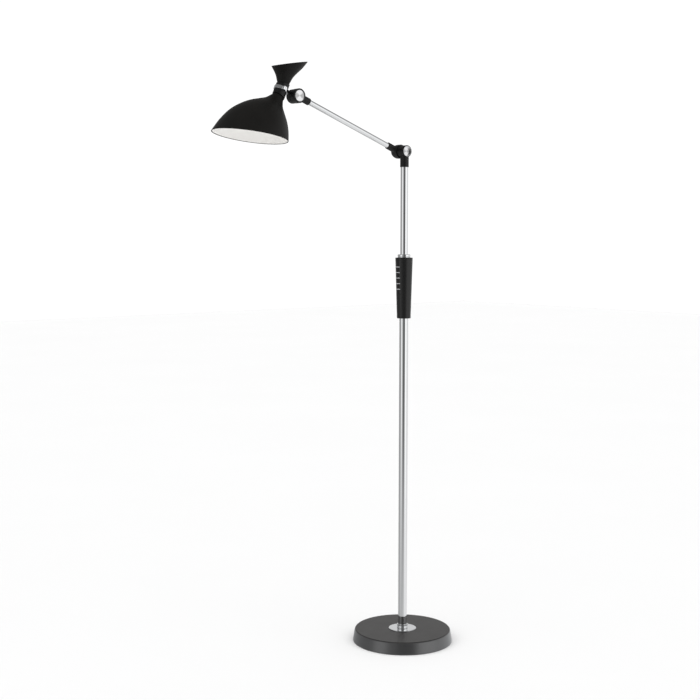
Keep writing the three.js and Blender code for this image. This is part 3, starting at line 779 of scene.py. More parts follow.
class Base(SubAssembly):
    """Spun cover of the base, with the bright flange and boss at the foot of the pole."""

    sizes = BaseSizes()

    def build(self) -> None:
        """Make and hand over the three visible pieces."""
        self.hand_over(self.cover(), "stand", "base_coat", ["base_shell"])
        self.hand_over(self.flange(), "stand", "chrome", ["pole_flange"])
        self.hand_over(self.boss(), "stand", "chrome", ["flange_boss"])

    def cover(self) -> Piece:
        """The painted cover: sloping wall, soft shoulder, faint crown and a rolled foot."""
        s = self.sizes
        low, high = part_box("base_shell")
        radius = high.x
        piece = Bench.lathe("lamp_base_cover", [
            Corner(radius - s.wall, low.z, SOFT), Corner(radius, low.z, 0.0005),
            Corner(radius, s.skirt, 0.0014), Corner(s.top_radius, high.z - s.shoulder, ROUND),
            Corner(s.top_radius - s.bevel, high.z - s.shoulder + s.bevel_rise, CRISP),
            Corner(s.top_radius - s.crown_inset, high.z, 0.0011),
            Corner(s.hole, high.z), Corner(s.hole, high.z - s.wall),
            Corner(s.top_radius - s.wall - 0.001, high.z - s.wall, 0.001),
            Corner(s.top_radius - s.wall, high.z - s.shoulder - s.wall, 0.0006),
            Corner(radius - s.wall, s.skirt),
        ], s.cover_facets)
        gland_low, gland_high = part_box("cord_gland")
        gland_z = (gland_low.z + gland_high.z) / 2
        end = radius + s.gland_past
        drill = Bench.ring("drill", 0, s.gland_bore, s.gland_from, end, facets=s.drill_facets)
        Bench.place(drill, Matrix.Translation((0, 0, gland_z)) @ ALONG_X)
        return Bench.combine(piece, drill, Combine.DIFFERENCE)

    def flange(self) -> Piece:
        """The thin bright disc on the base."""
        low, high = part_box("pole_flange")
        return Bench.lathe("lamp_flange", [
            Corner(self.sizes.hole, low.z), Corner(high.x, low.z),
            Corner(high.x, high.z - CRISP, CRISP),
            Corner(high.x - self.sizes.flange_bevel, high.z, 0.0006), Corner(self.sizes.hole, high.z),
        ], 128)

    def boss(self) -> Piece:
        """The bright cup that the pole stands in, with a lip round its mouth."""
        s = self.sizes
        low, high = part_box("flange_boss")
        waist = high.x - s.boss_waist
        foot = low.z + s.boss_foot
        lip = high.z - s.boss_lip
        return Bench.lathe("lamp_boss", [
            Corner(s.hole, low.z), Corner(high.x, low.z, SOFT), Corner(high.x, foot, SOFT),
            Corner(waist, foot + s.boss_slope, SOFT), Corner(waist, lip - s.boss_slope, SOFT),
            Corner(high.x, lip, SOFT), Corner(high.x, high.z, ROUND),
            Corner(s.boss_bore, high.z, SOFT),
            Corner(s.boss_bore, low.z + s.boss_floor), Corner(s.hole, low.z + s.boss_floor),
        ], 96)


@dataclass(frozen=True)
class TubeSizes:
    """Wall thicknesses of the three tubes."""

    lower_wall: float = 0.0008
    upper_wall: float = 0.0008
    arm_wall: float = 0.001
    end_roll: float = 0.0003


class Tubes(SubAssembly):
    """The two pole tubes and the arm tube."""

    sizes = TubeSizes()

    def tube(self, name: str, radius: float, wall: float, low: float, high: float) -> Piece:
        """A tube with deburred ends, along +Z."""
        roll = self.sizes.end_roll
        return Bench.lathe(name, [
            Corner(radius - wall, low, roll), Corner(radius, low, roll),
            Corner(radius, high, roll), Corner(radius - wall, high, roll),
        ], FINE_FACETS)

    def build(self, arm_frame: Matrix, arm_length: float, seat: float) -> None:
        """Make the tubes.

        Args:
            arm_frame: frame at the elbow with +Z along the arm.
            arm_length: distance between the two hinges.
            seat: distance from each hinge at which the arm tube ends.
        """
        s = self.sizes
        poles = (("lower_pole", "stand", s.lower_wall), ("upper_pole", "mast", s.upper_wall))
        for node, body, wall in poles:
            low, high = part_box(node)
            piece = self.tube(f"lamp_{node}", high.x, wall, low.z, high.z)
            self.hand_over(piece, body, "chrome", [node])
        low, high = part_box("arm_tube")
        radius = (high.y - low.y) / 2
        piece = self.tube("lamp_arm_tube", radius, s.arm_wall, seat, arm_length - seat)
        Bench.place(piece, arm_frame @ Matrix.Translation((0, (low.y + high.y) / 2, 0)))
        self.hand_over(piece, "arm", "chrome", ["arm_tube"])


@dataclass(frozen=True)
class GripSizes:
    """Sizes of the control grip that the frame doesn't give."""

    bottom_radius: float = 0.0173
    top_radius: float = 0.0219
    pole_bore: float = 0.0114
    wall: float = 0.0024
    floor: float = 0.0026
    turn: float = math.radians(-10)
    panel_depth: float = 0.0015
    panel_half: float = 0.0122
    bar_half: float = 0.0096
    bar_proud: float = 0.00005
    grub_height: float = 0.845
    grub_bore: float = 0.0023
    grub_from: float = 0.012
    grub_to: float = 0.03
    cap_bore: float = 0.0119
    cap_lip: float = 0.0163
    cap_step: float = 0.016
    cap_drop: float = 0.0006
    facets: int = 120
    plate_facets: int = 24


class Grip(SubAssembly):
    """Tapered control grip with its touch panel and five light bars."""

    sizes = GripSizes()

    def __init__(self, palette: Palette) -> None:
        """Read the grip's height range from the frame."""
        super().__init__(palette)
        low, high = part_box("grip_body")
        self.low, self.high = low.z, high.z

    def radius_at(self, height: float) -> float:
        """Outer radius of the grip at a height."""
        share = (height - self.low) / (self.high - self.low)
        return self.sizes.bottom_radius + share * (self.sizes.top_radius - self.sizes.bottom_radius)

    def plate(
        self, name: str, half_width: float, outer: float, inner: float,
        low: float, high: float, soft: float = 0.0,
    ) -> Piece:
        """A curved plate in the grip's front, between two depths below its surface.

        Args:
            name: name of the piece.
            half_width: half of its width round the grip.
            outer: depth of its outer face, negative when proud.
            inner: depth of its inner face.
            low: height of its lower end.
            high: height of its upper end.
            soft: rounding of its outer edges.

        Returns:
            The plate.
        """
        half_angle = half_width / self.radius_at((low + high) / 2)
        outline = rounded([
            Corner(self.radius_at(low) - inner, low), Corner(self.radius_at(low) - outer, low, soft),
            Corner(self.radius_at(high) - outer, high, soft), Corner(self.radius_at(high) - inner, high),
        ])
        start = math.pi + self.sizes.turn - half_angle
        return Bench.turned(name, outline, self.sizes.plate_facets, start, 2 * half_angle)

    def build(self) -> None:
        """Make the sleeve, its cap, the panel and the bars."""
        self.hand_over(self.sleeve(), "stand", "grip_plastic", ["grip_body"], angle=25)
        s = self.sizes
        low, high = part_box("grip_top_cap")
        cap = Bench.lathe("lamp_grip_cap", [
            Corner(s.cap_bore, low.z), Corner(high.x, low.z), Corner(high.x, high.z, SOFT),
            Corner(s.cap_lip, high.z, SOFT), Corner(s.cap_step, high.z - s.cap_drop, HAIR),
            Corner(s.cap_bore, high.z - s.cap_drop),
        ])
        self.hand_over(cap, "stand", "grip_plastic", ["grip_top_cap"])
        self.panel_and_bars()

    def sleeve(self) -> Piece:
        """The moulded sleeve, with the recess for the panel and the hole for the grub screw."""
        s = self.sizes
        floor_top = self.low + s.floor
        piece = Bench.lathe("lamp_grip", [
            Corner(s.pole_bore, self.low, SOFT), Corner(s.bottom_radius, self.low, 0.0014),
            Corner(s.top_radius, self.high, 0.0011), Corner(s.top_radius - s.wall, self.high, ROUND),
            Corner(self.radius_at(floor_top) - s.wall, floor_top), Corner(s.pole_bore, floor_top),
        ], s.facets)
        low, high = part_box("touch_panel")
        recess = self.plate(
            "recess", s.panel_half + GAP, -1.5 * PASS, s.panel_depth + GAP, low.z - GAP, high.z + GAP,
        )
        Bench.combine(piece, recess, Combine.DIFFERENCE)
        drill = Bench.ring("drill", 0, s.grub_bore, s.grub_from, s.grub_to, facets=s.plate_facets)
        turn = Matrix.Rotation(s.turn, 4, "Z")
        Bench.place(drill, Matrix.Translation((0, 0, s.grub_height)) @ turn @ ALONG_X)
        return Bench.combine(piece, drill, Combine.DIFFERENCE)

    def panel_and_bars(self) -> None:
        """The glossy panel with a window for each bar, and the bars in them."""
        s = self.sizes
        low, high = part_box("touch_panel")
        panel = self.plate("lamp_touch_panel", s.panel_half, 0, s.panel_depth, low.z, high.z, CRISP)
        for number in range(1, 6):
            bar_low, bar_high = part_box(f"touch_bar_{number}")
            window = self.plate(
                "window", s.bar_half + GAP, -PASS, s.panel_depth + PASS / 2,
                bar_low.z - GAP, bar_high.z + GAP,
            )
            Bench.combine(panel, window, Combine.DIFFERENCE)
            bar = self.plate(
                f"lamp_light_bar_{number}", s.bar_half, -s.bar_proud, s.panel_depth,
                bar_low.z, bar_high.z, CRISP,
            )
            self.hand_over(bar, "stand", "touch_light", [f"touch_bar_{number}"])
        self.hand_over(panel, "stand", "panel_gloss", ["touch_panel"])


class TwistLock(SubAssembly):
    """The bright collar that locks the height."""

    bore = 0.00985
    nut_bore = 0.0119
    lip = 0.0034
    groove_rise = 0.0022
    groove_depth = 0.0006
    groove_half = 0.0004

    def build(self) -> None:
        """Make the collar with a shadow groove and softened rims."""
        low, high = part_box("locking_collar")
        groove = low.z + self.groove_rise
        waist = high.x - self.groove_depth
        piece = Bench.lathe("lamp_locking_collar", [
            Corner(self.nut_bore, low.z), Corner(high.x, low.z, SOFT),
            Corner(high.x, groove - self.groove_half, HAIR), Corner(waist, groove, HAIR),
            Corner(high.x, groove + self.groove_half, HAIR),
            Corner(high.x, high.z, 0.0014), Corner(self.bore, high.z, SOFT),
            Corner(self.bore, high.z - self.lip), Corner(self.nut_bore, high.z - self.lip),
        ])
        self.hand_over(piece, "collar", "chrome", ["locking_collar"])


@dataclass(frozen=True)
class HingeSizes:
    """Sizes of one friction hinge, along its own Y axis."""

    near_radius: float
    far_radius: float
    dome: float
    pocket: float
    edge: float = 0.0009
    disc_radius: float = 0.0131
    disc_recess: float = 0.0017
    cup: float = 0.0
    cup_wall: float = 0.0009
    head_pocket_radius: float = 0.0059
    head_pocket: float = 0.0042
    bolt_hole: float = 0.0034
    nut_pocket_radius: float = 0.0063
    nut_pocket: float = 0.0065
    dish: float = 0.0004
    dome_steps: int = 14
    cutter_facets: int = 64
    disc_facets: int = 128
    voxel: float = 0.00042


@dataclass(frozen=True)
class SocketSizes:
    """The round socket or stub that leaves a hinge half."""

    radius: float
    length: float
    bore: float
    seat: float
    plane: float
    end_soft: float = 0.0009
    facets: int = 64


class Knuckle(SubAssembly):
    """Two castings that turn on each other, and the bright disc on the near one."""

    def __init__(self, palette: Palette, name: str, sizes: HingeSizes, near: str, far: str) -> None:
        """Keep the hinge's sizes and read the faces of its halves.

        Args:
            palette: the lamp's finishes.
            name: elbow or head.
            sizes: sizes of the hinge.
            near: CAD node of the half with the disc.
            far: CAD node of the half with the domed back.
        """
        super().__init__(palette)
        self.name, self.sizes, self.near_node, self.far_node = name, sizes, near, far
        self.near_low, self.near_high = (corner.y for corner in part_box(near))
        self.far_low, self.far_high = (corner.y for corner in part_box(far))

    def stub(self, sizes: SocketSizes, direction: Matrix) -> Piece:
        """The socket's outside, with a softened end."""
        piece = Bench.lathe("stub", [
            Corner(0, 0), Corner(sizes.radius, 0),
            Corner(sizes.radius, sizes.length, sizes.end_soft), Corner(0, sizes.length),
        ], sizes.facets, closed=False)
        return Bench.place(piece, direction @ Matrix.Translation((0, sizes.plane, 0)))

    def bore(self, sizes: SocketSizes, direction: Matrix) -> Piece:
        """The cutter for the socket's bore."""
        end = sizes.length + 1.5 * PASS
        piece = Bench.ring("bore", 0, sizes.bore, sizes.seat, end, facets=sizes.facets)
        return Bench.place(piece, direction @ Matrix.Translation((0, sizes.plane, 0)))

    def cutter(self, radius: float, low: float, high: float) -> Piece:
        """A round cutter along the hinge's axis."""
        piece = Bench.ring("cutter", 0, radius, low, high, facets=self.sizes.cutter_facets)
        return Bench.place(piece, ALONG_Y)

    def near_half(self, socket: SocketSizes, direction: Matrix, place: Matrix, body: str) -> None:
        """Make the half with the disc's recess.

        Args:
            socket: its socket.
            direction: turns +Z to where the socket points.
            place: puts the hinge's frame in the lamp's.
            body: CAD body that it rides on.
        """
        s = self.sizes
        low, high = self.near_low, self.near_high
        piece = Bench.lathe(f"lamp_{self.near_node}", [
            Corner(0, low), Corner(s.near_radius, low, s.edge), Corner(s.near_radius, high, ROUND),
            Corner(0, high),
        ], closed=False)
        Bench.place(piece, ALONG_Y)
        Bench.combine(piece, self.stub(socket, direction), Combine.UNION)
        Bench.cast(piece, s.voxel, CAST_PASSES)
        floor = low + s.disc_recess + s.cup
        for tool in (
            self.bore(socket, direction),
            self.cutter(s.disc_radius + GAP, low - PASS, floor),
            self.cutter(s.head_pocket_radius, low, floor + s.head_pocket),
            self.cutter(s.bolt_hole, low, high + PASS),
        ):
            Bench.combine(piece, tool, Combine.DIFFERENCE)
        Bench.place(piece, place)
        self.hand_over(piece, body, "knuckle_black", [self.near_node], angle=40)

    def far_half(
        self, socket: SocketSizes, direction: Matrix, place: Matrix, body: str,
        *cutters: Piece,
    ) -> None:
        """Make the half with the domed back.

        Args:
            socket: its socket or bracket.
            direction: turns +Z to where the socket points.
            place: puts the hinge's frame in the lamp's.
            body: CAD body that it rides on.
            cutters: more solids to cut away, in the hinge's frame.
        """
        s = self.sizes
        low, high = self.far_low, self.far_high
        shoulder = high - s.dome
        dome = [
            (s.far_radius * math.cos(a), shoulder + s.dome * math.sin(a))
            for a in (step / s.dome_steps * math.pi / 2 for step in range(s.dome_steps + 1))
        ]
        dome[-1] = (0, high)
        face = rounded([
            Corner(0, low), Corner(s.far_radius, low, ROUND), Corner(s.far_radius, shoulder),
        ], closed=False)
        piece = Bench.turned(f"lamp_{self.far_node}", [*face, *dome[1:]])
        Bench.place(piece, ALONG_Y)
        Bench.combine(piece, self.stub(socket, direction), Combine.UNION)
        Bench.cast(piece, s.voxel, CAST_PASSES)
        pocket = low + s.pocket
        for tool in (
            self.bore(socket, direction),
            self.cutter(s.bolt_hole, low - PASS, pocket + s.nut_pocket),
            self.cutter(s.nut_pocket_radius, pocket, pocket + s.nut_pocket),
            *cutters,
        ):
            Bench.combine(piece, tool, Combine.DIFFERENCE)
        Bench.place(piece, place)
        self.hand_over(piece, body, "knuckle_black", [self.far_node], angle=40)

    def disc(self, place: Matrix, body: str) -> None:
        """Make the bright disc: slightly dished, with a narrow raised rim."""
        s = self.sizes
        node = f"{self.name}_disc_cap"
        low, high = (corner.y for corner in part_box(node))
        inner = s.disc_radius - s.cup_wall
        face = low + max(s.cup, s.dish)
        piece = Bench.lathe(f"lamp_{node}", [
            Corner(0, face), Corner(inner - 0.0001, face, HAIR), Corner(inner, low, 0.0001),
            Corner(s.disc_radius, low, SOFT), Corner(s.disc_radius, high), Corner(0, high),
        ], s.disc_facets, closed=False)
        Bench.place(piece, place @ ALONG_Y)
        self.hand_over(piece, body, "spun_chrome", [node], self.palette.discs[self.name])


@dataclass(frozen=True)
class ShadeSizes:
    """One spun shade: its outline along its own axis and the slanting plane of its rim."""

    tilt: float
    mouth: float
    slant: float
    hole: float
    outline: tuple[tuple[float, float], ...]
    wall: float = 0.0012
    edge: float = 0.00035
    steps: int = 54
    facets: int = 144

    def line(self) -> list[Vector]:
        """The outline, which is given in millimetres, finely sampled in metres."""
        return smooth_line([(r / 1000, s / 1000) for r, s in self.outline], self.steps)


BELL = ShadeSizes(
    tilt=math.radians(36.6), mouth=0.1217, slant=math.radians(27.8), hole=0.0066,
    outline=((13.5, 0), (18.7, 12), (26, 24), (38.8, 38), (54.4, 55), (68, 75), (79.8, 100), (86.4, 130),
             (88.6, 158), (89.4, 186)),
)
FLARE = ShadeSizes(
    tilt=math.radians(11.5), mouth=0.0461, slant=math.radians(20), hole=0.007,
    outline=((13.7, 0), (16.8, 8), (20.7, 18), (28.5, 30), (39.6, 45), (49.2, 62), (59.4, 80)),
)


@dataclass(frozen=True)
class HeadSizes:
    """Sizes of the neck and of what it carries."""

    tilt: float = math.radians(25.7)
    length: float = 0.033
    reach: float = 0.04
    plane: float = 0.0368
    rise: float = 0.00565
    band_rise: float = 0.0014
    collar_radius: float = 0.0155
    collar_bore: float = 0.012
    collar_spare: float = 0.005
    collar_edge: float = 0.0005
    mitre_half: float = 0.06
    band_height: float = 0.008
    band_thickness: float = 0.0015
    block_turn: float = math.radians(-99)
    block: Triple = (0.0045, 0.008, 0.0086)
    block_edge: float = 0.0009
    slot_depth: float = 0.0008
    slot_half_width: float = 0.0005
    slot_half_height: float = 0.0028
    hollow_half: float = 0.01
    liner_wall: float = 0.0008
    liner_start: float = 5 / 12
    liner_drawback: float = 0.0012
    lens_top: float = 0.044
    lens_radius: float = 0.033
    lens_outline: tuple[Triple, ...] = (
        (0, 0.005, 0), (0.02, 0.004, 0.002), (0.029, 0.0016, 0.001), (0.031, 0, 0), (0.033, 0, 0),
        (0.033, 0.002, 0.0004), (0.0305, 0.0034, 0.001), (0.021, 0.0058, 0.004), (0, 0.007, 0),
    )
    ring_radius: float = 0.043
    ring_low: float = 0.0012
    ring_high: float = 0.0027
    shade_angle: float = 50.0


class Head(SubAssembly):
    """Neck, band, bell shade with its white reflector, flared top and light engine."""

    sizes = HeadSizes()

    def __init__(self, palette: Palette, pivot: Vector) -> None:
        """Work out the head's frames from its hinge.

        Args:
            palette: the lamp's finishes.
            pivot: point on the head hinge's axis.
        """
        super().__init__(palette)
        s = self.sizes
        self.knuckle = tilted_frame(pivot, s.tilt)
        self.neck = self.knuckle @ Matrix.Translation((-s.reach, s.plane - pivot.y, -s.rise))
        ends = [self.neck @ Matrix.Translation((0, 0, side * s.length / 2)) for side in (-1, 1)]
        self.bell = ends[0] @ Matrix.Rotation(math.pi + BELL.tilt - s.tilt, 4, "Y")
        self.flare = ends[1] @ Matrix.Rotation(FLARE.tilt - s.tilt, 4, "Y")

    def build(self) -> None:
        """Make every visible piece of the head."""
        for name, sizes, place in (("bell", BELL, self.bell), ("flare", FLARE, self.flare)):
            shade = self.shade(f"lamp_{name}_shade", sizes, place)
            self.hand_over(shade, "head", "shade_paint", [f"{name}_shade"], angle=self.sizes.shade_angle)
        self.hand_over(
            self.reflector(), "head", "white_paint", ["bell_reflector"], angle=self.sizes.shade_angle,
        )
        self.hand_over(self.collar(), "head", "knuckle_black", ["neck_collar"])
        self.hand_over(self.band(), "head", "chrome", ["neck_band"])
        self.hand_over(self.clamp_block(), "head", "chrome", ["band_block"])
        self.light_engine()

    def rim_cut(self, piece: Piece, shade: ShadeSizes, drawback: float) -> None:
        """Cut a shade off along its slanting rim."""
        normal = Vector((-math.sin(shade.slant), 0, math.cos(shade.slant)))
        Bench.slice_off(piece, Vector((0, 0, shade.mouth - drawback)), normal)

    def shade(self, name: str, sizes: ShadeSizes, place: Matrix) -> Piece:
        """A spun shade: its skin, cut along the rim, thickened inwards and softened at the edge."""
        line = sizes.line()
        piece = Bench.turned(name, [(sizes.hole, 0), *line], sizes.facets)
        self.rim_cut(piece, sizes, 0)
        self.face_outwards(piece, 0.3 * sizes.mouth)
        Bench.modify(piece, "SOLIDIFY", thickness=sizes.wall, offset=-1.0, use_even_offset=True)
        Bench.soften(piece, sizes.edge, 60)
        return Bench.place(piece, place)

    @staticmethod
    def face_outwards(piece: Piece, height: float) -> None:
        """Turn an open skin's faces away from its axis, judged by a face near a height."""
        face = min(piece.data.polygons, key=lambda f: abs(f.center.z - height))
        if face.normal.x * face.center.x + face.normal.y * face.center.y < 0:
            Bench.only(piece)
            bpy.ops.object.mode_set(mode="EDIT")
            bpy.ops.mesh.select_all(action="SELECT")
            bpy.ops.mesh.flip_normals()
            bpy.ops.object.mode_set(mode="OBJECT")

    def reflector(self) -> Piece:
        """The white liner of the bell, set in from its rim."""
        s = self.sizes
        line = BELL.line()
        first = round(s.liner_start * BELL.steps)
        outer = offset_line(line, BELL.wall + GAP)[first:]
        piece = Bench.turned("lamp_reflector", outer, BELL.facets)
        self.rim_cut(piece, BELL, s.liner_drawback)
        self.face_outwards(piece, BELL.mouth)
        Bench.modify(piece, "SOLIDIFY", thickness=s.liner_wall, offset=-1.0, use_even_offset=True)
        return Bench.place(piece, self.bell)

    def collar(self) -> Piece:
        """The black collar, mitred at both ends to meet the shades."""
        s = self.sizes
        reach = s.length / 2 + s.collar_spare
        piece = Bench.ring("lamp_neck_collar", s.collar_bore, s.collar_radius, -reach, reach)
        Bench.place(piece, self.neck)
        half = s.mitre_half
        for place in (self.bell, self.flare):
            tool = Bench.block("mitre", (-half, -half, -GAP), (half, half, half))
            Bench.combine(piece, Bench.place(tool, place), Combine.DIFFERENCE)
        Bench.soften(piece, s.collar_edge, 50)
        return piece

    def band(self) -> Piece:
        """The bright band round the collar."""
        s = self.sizes
        inner = s.collar_radius + GAP
        low = s.band_rise - s.band_height / 2
        outer = inner + s.band_thickness
        piece = Bench.ring("lamp_neck_band", inner, outer, low, low + s.band_height, SOFT)
        return Bench.place(piece, self.neck)

    def band_room(self) -> Piece:
        """A cutter round the band, in the head hinge's frame."""
        s = self.sizes
        middle = s.band_rise - s.rise
        half = s.band_height / 2 + GAP
        outer = s.collar_radius + s.band_thickness + 2 * GAP
        piece = Bench.ring("band_room", 0, outer, middle - half, middle + half)
        return Bench.place(piece, Matrix.Translation((-s.reach, s.plane, 0)))

    def clamp_block(self) -> Piece:
        """The bright block on the band, hollowed to sit on it, with a screw slot."""
        s = self.sizes
        seat = s.collar_radius + GAP + s.band_thickness
        depth, width, height = s.block
        piece = Bench.block(
            "lamp_band_block", (seat - PASS, -width / 2, s.band_rise - height / 2),
            (seat + depth, width / 2, s.band_rise + height / 2), s.block_edge,
        )
        slot = Bench.block(
            "slot", (seat + depth - s.slot_depth, -s.slot_half_width, s.band_rise - s.slot_half_height),
            (seat + depth + PASS / 2, s.slot_half_width, s.band_rise + s.slot_half_height),
        )
        Bench.combine(piece, slot, Combine.DIFFERENCE)
        Bench.place(piece, Matrix.Rotation(s.block_turn, 4, "Z"))
        low, high = s.band_rise - s.hollow_half, s.band_rise + s.hollow_half
        hollow = Bench.ring("hollow", 0, seat + GAP, low, high)
        Bench.combine(piece, hollow, Combine.DIFFERENCE)
        return Bench.place(piece, self.neck)

    def light_engine(self) -> None:
        """The opal diffuser and the white ring that holds it."""
        s = self.sizes
        top = s.lens_top
        lens = Bench.lathe("lamp_diffuser", [
            Corner(radius, top + rise, soft) for radius, rise, soft in s.lens_outline
        ], closed=False)
        self.hand_over(Bench.place(lens, self.bell), "head", "lens", ["diffuser_lens"])
        low, high = top + s.ring_low, top + s.ring_high
        ring = Bench.ring("lamp_lens_ring", s.lens_radius + GAP, s.ring_radius, low, high, CRISP)
        self.hand_over(Bench.place(ring, self.bell), "head", "white_paint", ["retaining_ring"])


# ---------------------------------------------------------------- studio


@dataclass(frozen=True)
class Panel:
    """A tall panel that bright metal mirrors, between two angles in degrees round the room."""

    start: float
    end: float
    soft: float
    strength: float


@dataclass(frozen=True)
class StudioSizes:
    """Camera place and the brightness of the plain studio; the panels' angles grow to the right."""

    camera: Triple = (-2.1868, -2.4303, 1.0434)
    azimuth: float = math.radians(-39.18)
    pitch: float = math.radians(5.16)
    lens: float = 66.86
    shift: float = 0.0139
    floor_half: float = 12.0
    clip_end: float = 100.0
    sun: float = 2.9
    sun_angle: float = math.radians(110)
    sun_turn: Triple = (math.radians(14), math.radians(-16), 0)
    backdrop: float = 1.05
    facing: float = math.radians(228)
    room: float = 0.38
    behind: float = 0.36
    ceiling: float = 0.2
    behind_from: tuple[float, float] = (118, 128)
    behind_to: tuple[float, float] = (-166, -150)
    ceiling_rise: tuple[float, float] = (0.22, 0.66)
    ground_rise: tuple[float, float] = (-0.34, -0.1)
    ground_turn: tuple[float, float] = (-60, 90)
    ground: tuple[float, float] = (0.42, 0.46)
    panels: tuple[Panel, ...] = (
        Panel(-68, -36, 5, 0.66), Panel(36, 82, 4, 0.8), Panel(82, 123, 5, 0.48),
        Panel(-12, 30, 4, -0.26),
    )


class Studio:
    """Pale floor, soft light, the surroundings that bright metal mirrors, and the camera."""

    sizes = StudioSizes()

    def build(self) -> None:
        """Make the whole studio."""
        self.camera()
        self.floor()
        self.sunlight()
        self.surroundings()
        bpy.context.scene.view_settings.view_transform = "Standard"

    def camera(self) -> None:
        """Place the camera at its viewing angle."""
        s = self.sizes
        back = Vector((
            math.sin(s.azimuth) * math.cos(s.pitch), -math.cos(s.azimuth) * math.cos(s.pitch),
            math.sin(s.pitch),
        ))
        data = bpy.data.cameras.new("studio_camera")
        data.lens = s.lens
        data.shift_x = s.shift
        data.clip_end = s.clip_end
        camera = bpy.data.objects.new("studio_camera", data)
        camera.location = s.camera
        camera.rotation_euler = (-back).to_track_quat("-Z", "Y").to_euler()
        bpy.context.scene.collection.objects.link(camera)
        bpy.context.scene.camera = camera

    def floor(self) -> None:
        """A plain pale floor."""
        bpy.ops.object.select_all(action="DESELECT")
        bpy.ops.mesh.primitive_plane_add(size=2 * self.sizes.floor_half)
        floor = bpy.context.object
        floor.name = "studio_floor"
        coat = Coat("studio_floor")
        cloud = coat.noise(0.8)
        floor.data.materials.append(coat.finish(
            Base_Color=coat.blend(grey(0.86), grey(0.88), cloud), Roughness=0.9, Specular_IOR_Level=0.1,
        ))
        floor.visible_glossy = False

    def sunlight(self) -> None:
        """One very broad overhead light for the diffuse part of every surface."""
        data = bpy.data.lights.new("studio_softbox", "SUN")
        data.energy = self.sizes.sun
        data.angle = self.sizes.sun_angle
        light = bpy.data.objects.new("studio_softbox", data)
        light.rotation_euler = self.sizes.sun_turn
        light.visible_glossy = False
        bpy.context.scene.collection.objects.link(light)

    def surroundings(self) -> None:
        """White to look at; what is mirrored is a grey room with tall soft boxes and a dark gap."""
        world = bpy.data.worlds.new("studio")
        bpy.context.scene.world = world
        world.use_nodes = True
        room = Recipe(world.node_tree)
        ray = room.node("ShaderNodeTexCoord", {}, {}).outputs["Generated"]
        s = self.sizes
        facing = s.facing
        ahead, right = (math.cos(facing), math.sin(facing), 0), (-math.sin(facing), math.cos(facing), 0)
        parts = [room.dot(ray, axis) for axis in (ahead, right, (0, 0, 1))]
        turn = parts[1].angle_from(parts[0]) * (180 / math.pi)

        behind = turn.ease(*s.behind_from) + turn.ease(*s.behind_to, 1.0, 0.0)
        level = behind * s.behind + s.room
        for panel in s.panels:
            rise = turn.ease(panel.start - panel.soft, panel.start + panel.soft)
            fall = turn.ease(panel.end - panel.soft, panel.end + panel.soft, 1.0, 0.0)
            level = level + rise * fall * panel.strength
        below = parts[2].ease(*s.ground_rise, 1.0, 0.0)
        ground = turn.ease(*s.ground_turn) * s.ground[0] + s.ground[1]
        level = level * (1 - below) + ground * below
        overhead = parts[2].ease(*s.ceiling_rise)
        glow = level * (1 - overhead) + overhead * s.ceiling
        backdrop = room.node("ShaderNodeBackground", {}, {"Color": WHITE, "Strength": s.backdrop})
        mirrored = room.node("ShaderNodeBackground", {}, {"Color": WHITE, "Strength": glow})
        seen = room.node("ShaderNodeLightPath", {}, {}).outputs["Is Camera Ray"]
        shaders = {0: seen, 1: mirrored.outputs[0], 2: backdrop.outputs[0]}
        mix = room.node("ShaderNodeMixShader", {}, shaders)
        room.node("ShaderNodeOutputWorld", {}, {0: mix.outputs[0]})


# ---------------------------------------------------------------- the whole lamp


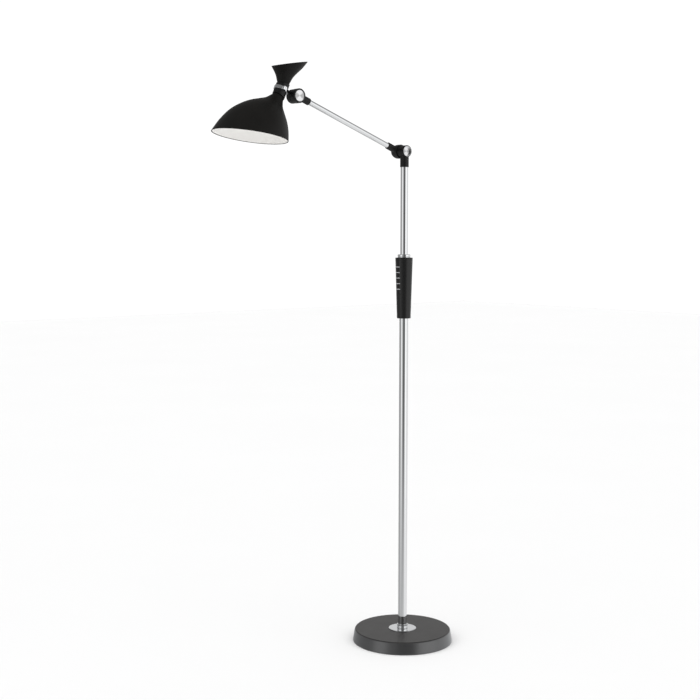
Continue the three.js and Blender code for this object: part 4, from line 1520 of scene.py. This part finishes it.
class Lamp:
    """The lamp: works out its frames from the CAD, builds each sub-assembly and dresses what is left."""

    elbow_sizes = HingeSizes(
        near_radius=0.0146, far_radius=0.0174, dome=0.02, pocket=0.006,
        disc_radius=0.0128, cup=0.0044,
    )
    head_sizes = HingeSizes(near_radius=0.017, far_radius=0.0166, dome=0.009, pocket=0.0035)
    pole_socket = 0.0108
    arm_socket = 0.0085
    elbow_socket_length = 0.04
    wrist_socket_length = 0.035
    arm_seat = 0.0173
    bracket = 0.0049
    bracket_bore = 0.0023
    bracket_thread = 0.008

    def __init__(self) -> None:
        """Read the joints' places from the frame."""
        joints = {joint["name"]: joint for joint in frame["joints"]}
        self.elbow = Vector(joints["elbow_tilt"]["pos_m"])
        self.wrist = Vector(joints["head_tilt"]["pos_m"])
        self.along = self.wrist - self.elbow
        tilt = math.atan2(self.along.x, self.along.z)
        self.arm_frame = tilted_frame(self.elbow, tilt)
        self.wrist_frame = tilted_frame(self.wrist, tilt)
        elbow_disc = self.elbow + Vector((0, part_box("elbow_disc_cap")[0].y, 0))
        head_disc = self.wrist + Vector((0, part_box("head_disc_cap")[0].y, 0))
        self.palette = Palette(elbow_disc, head_disc)

    def build(self) -> None:
        """Build the sub-assemblies in order, from the floor up."""
        Base(self.palette).build()
        Tubes(self.palette).build(self.arm_frame, self.along.length, self.arm_seat)
        Grip(self.palette).build()
        TwistLock(self.palette).build()
        head = Head(self.palette, self.wrist)
        self.build_elbow()
        self.build_wrist(head)
        head.build()
        self.dress_remaining()

    def build_elbow(self) -> None:
        """The elbow, between the pole and the arm."""
        knuckle = Knuckle(self.palette, "elbow", self.elbow_sizes, "elbow_pole_half", "elbow_arm_half")
        socket_end = self.elbow.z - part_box("elbow_pole_half")[0].z
        pole_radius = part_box("upper_pole")[1].x
        pole_top = self.elbow.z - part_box("upper_pole")[1].z
        place = Matrix.Translation(self.elbow)
        downwards = Matrix.Rotation(math.pi, 4, "X")
        knuckle.near_half(
            SocketSizes(self.pole_socket, socket_end, pole_radius + GAP, pole_top - GAP, 0),
            downwards, place, "mast",
        )
        knuckle.disc(place, "mast")
        plane, bore = self.arm_line()
        knuckle.far_half(
            SocketSizes(self.arm_socket, self.elbow_socket_length, bore, self.arm_seat - GAP, plane),
            Matrix.Identity(4), self.arm_frame, "arm",
        )

    def build_wrist(self, head: Head) -> None:
        """The head hinge, between the arm and the neck."""
        knuckle = Knuckle(self.palette, "head", self.head_sizes, "head_arm_half", "head_neck_half")
        plane, bore = self.arm_line()
        back_along_arm = Matrix.Rotation(math.pi, 4, "Y")
        knuckle.near_half(
            SocketSizes(self.arm_socket, self.wrist_socket_length, bore, self.arm_seat - GAP, plane),
            back_along_arm, self.wrist_frame, "arm",
        )
        knuckle.disc(self.wrist_frame, "arm")
        s = head.sizes
        length = s.reach - s.collar_radius - GAP
        knuckle.far_half(
            SocketSizes(self.bracket, length, self.bracket_bore, length - self.bracket_thread, s.plane),
            Matrix.Rotation(-math.pi / 2, 4, "Y"), head.knuckle, "head", head.band_room(),
        )

    def arm_line(self) -> tuple[float, float]:
        """The arm tube's distance from the pole's plane, and the bore that takes it."""
        low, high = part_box("arm_tube")
        return (low.y + high.y) / 2, (high.y - low.y) / 2 + GAP

    def dress_remaining(self) -> None:
        """Give every CAD node that still shows the finish of its slot."""
        slots = {part["node"]: part["material_slot"] for part in frame["record"]["subparts"]}
        for name, node in frame["nodes"].items():
            if not node.hide_render:
                node.data.materials.clear()
                node.data.materials.append(self.palette.made[slots[name]])


def main() -> None:
    """Build the studio and the lamp."""
    logging.basicConfig(level=logging.INFO, format="%(name)s %(message)s")
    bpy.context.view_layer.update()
    Studio().build()
    Lamp().build()


if __name__ == "__main__":
    main()
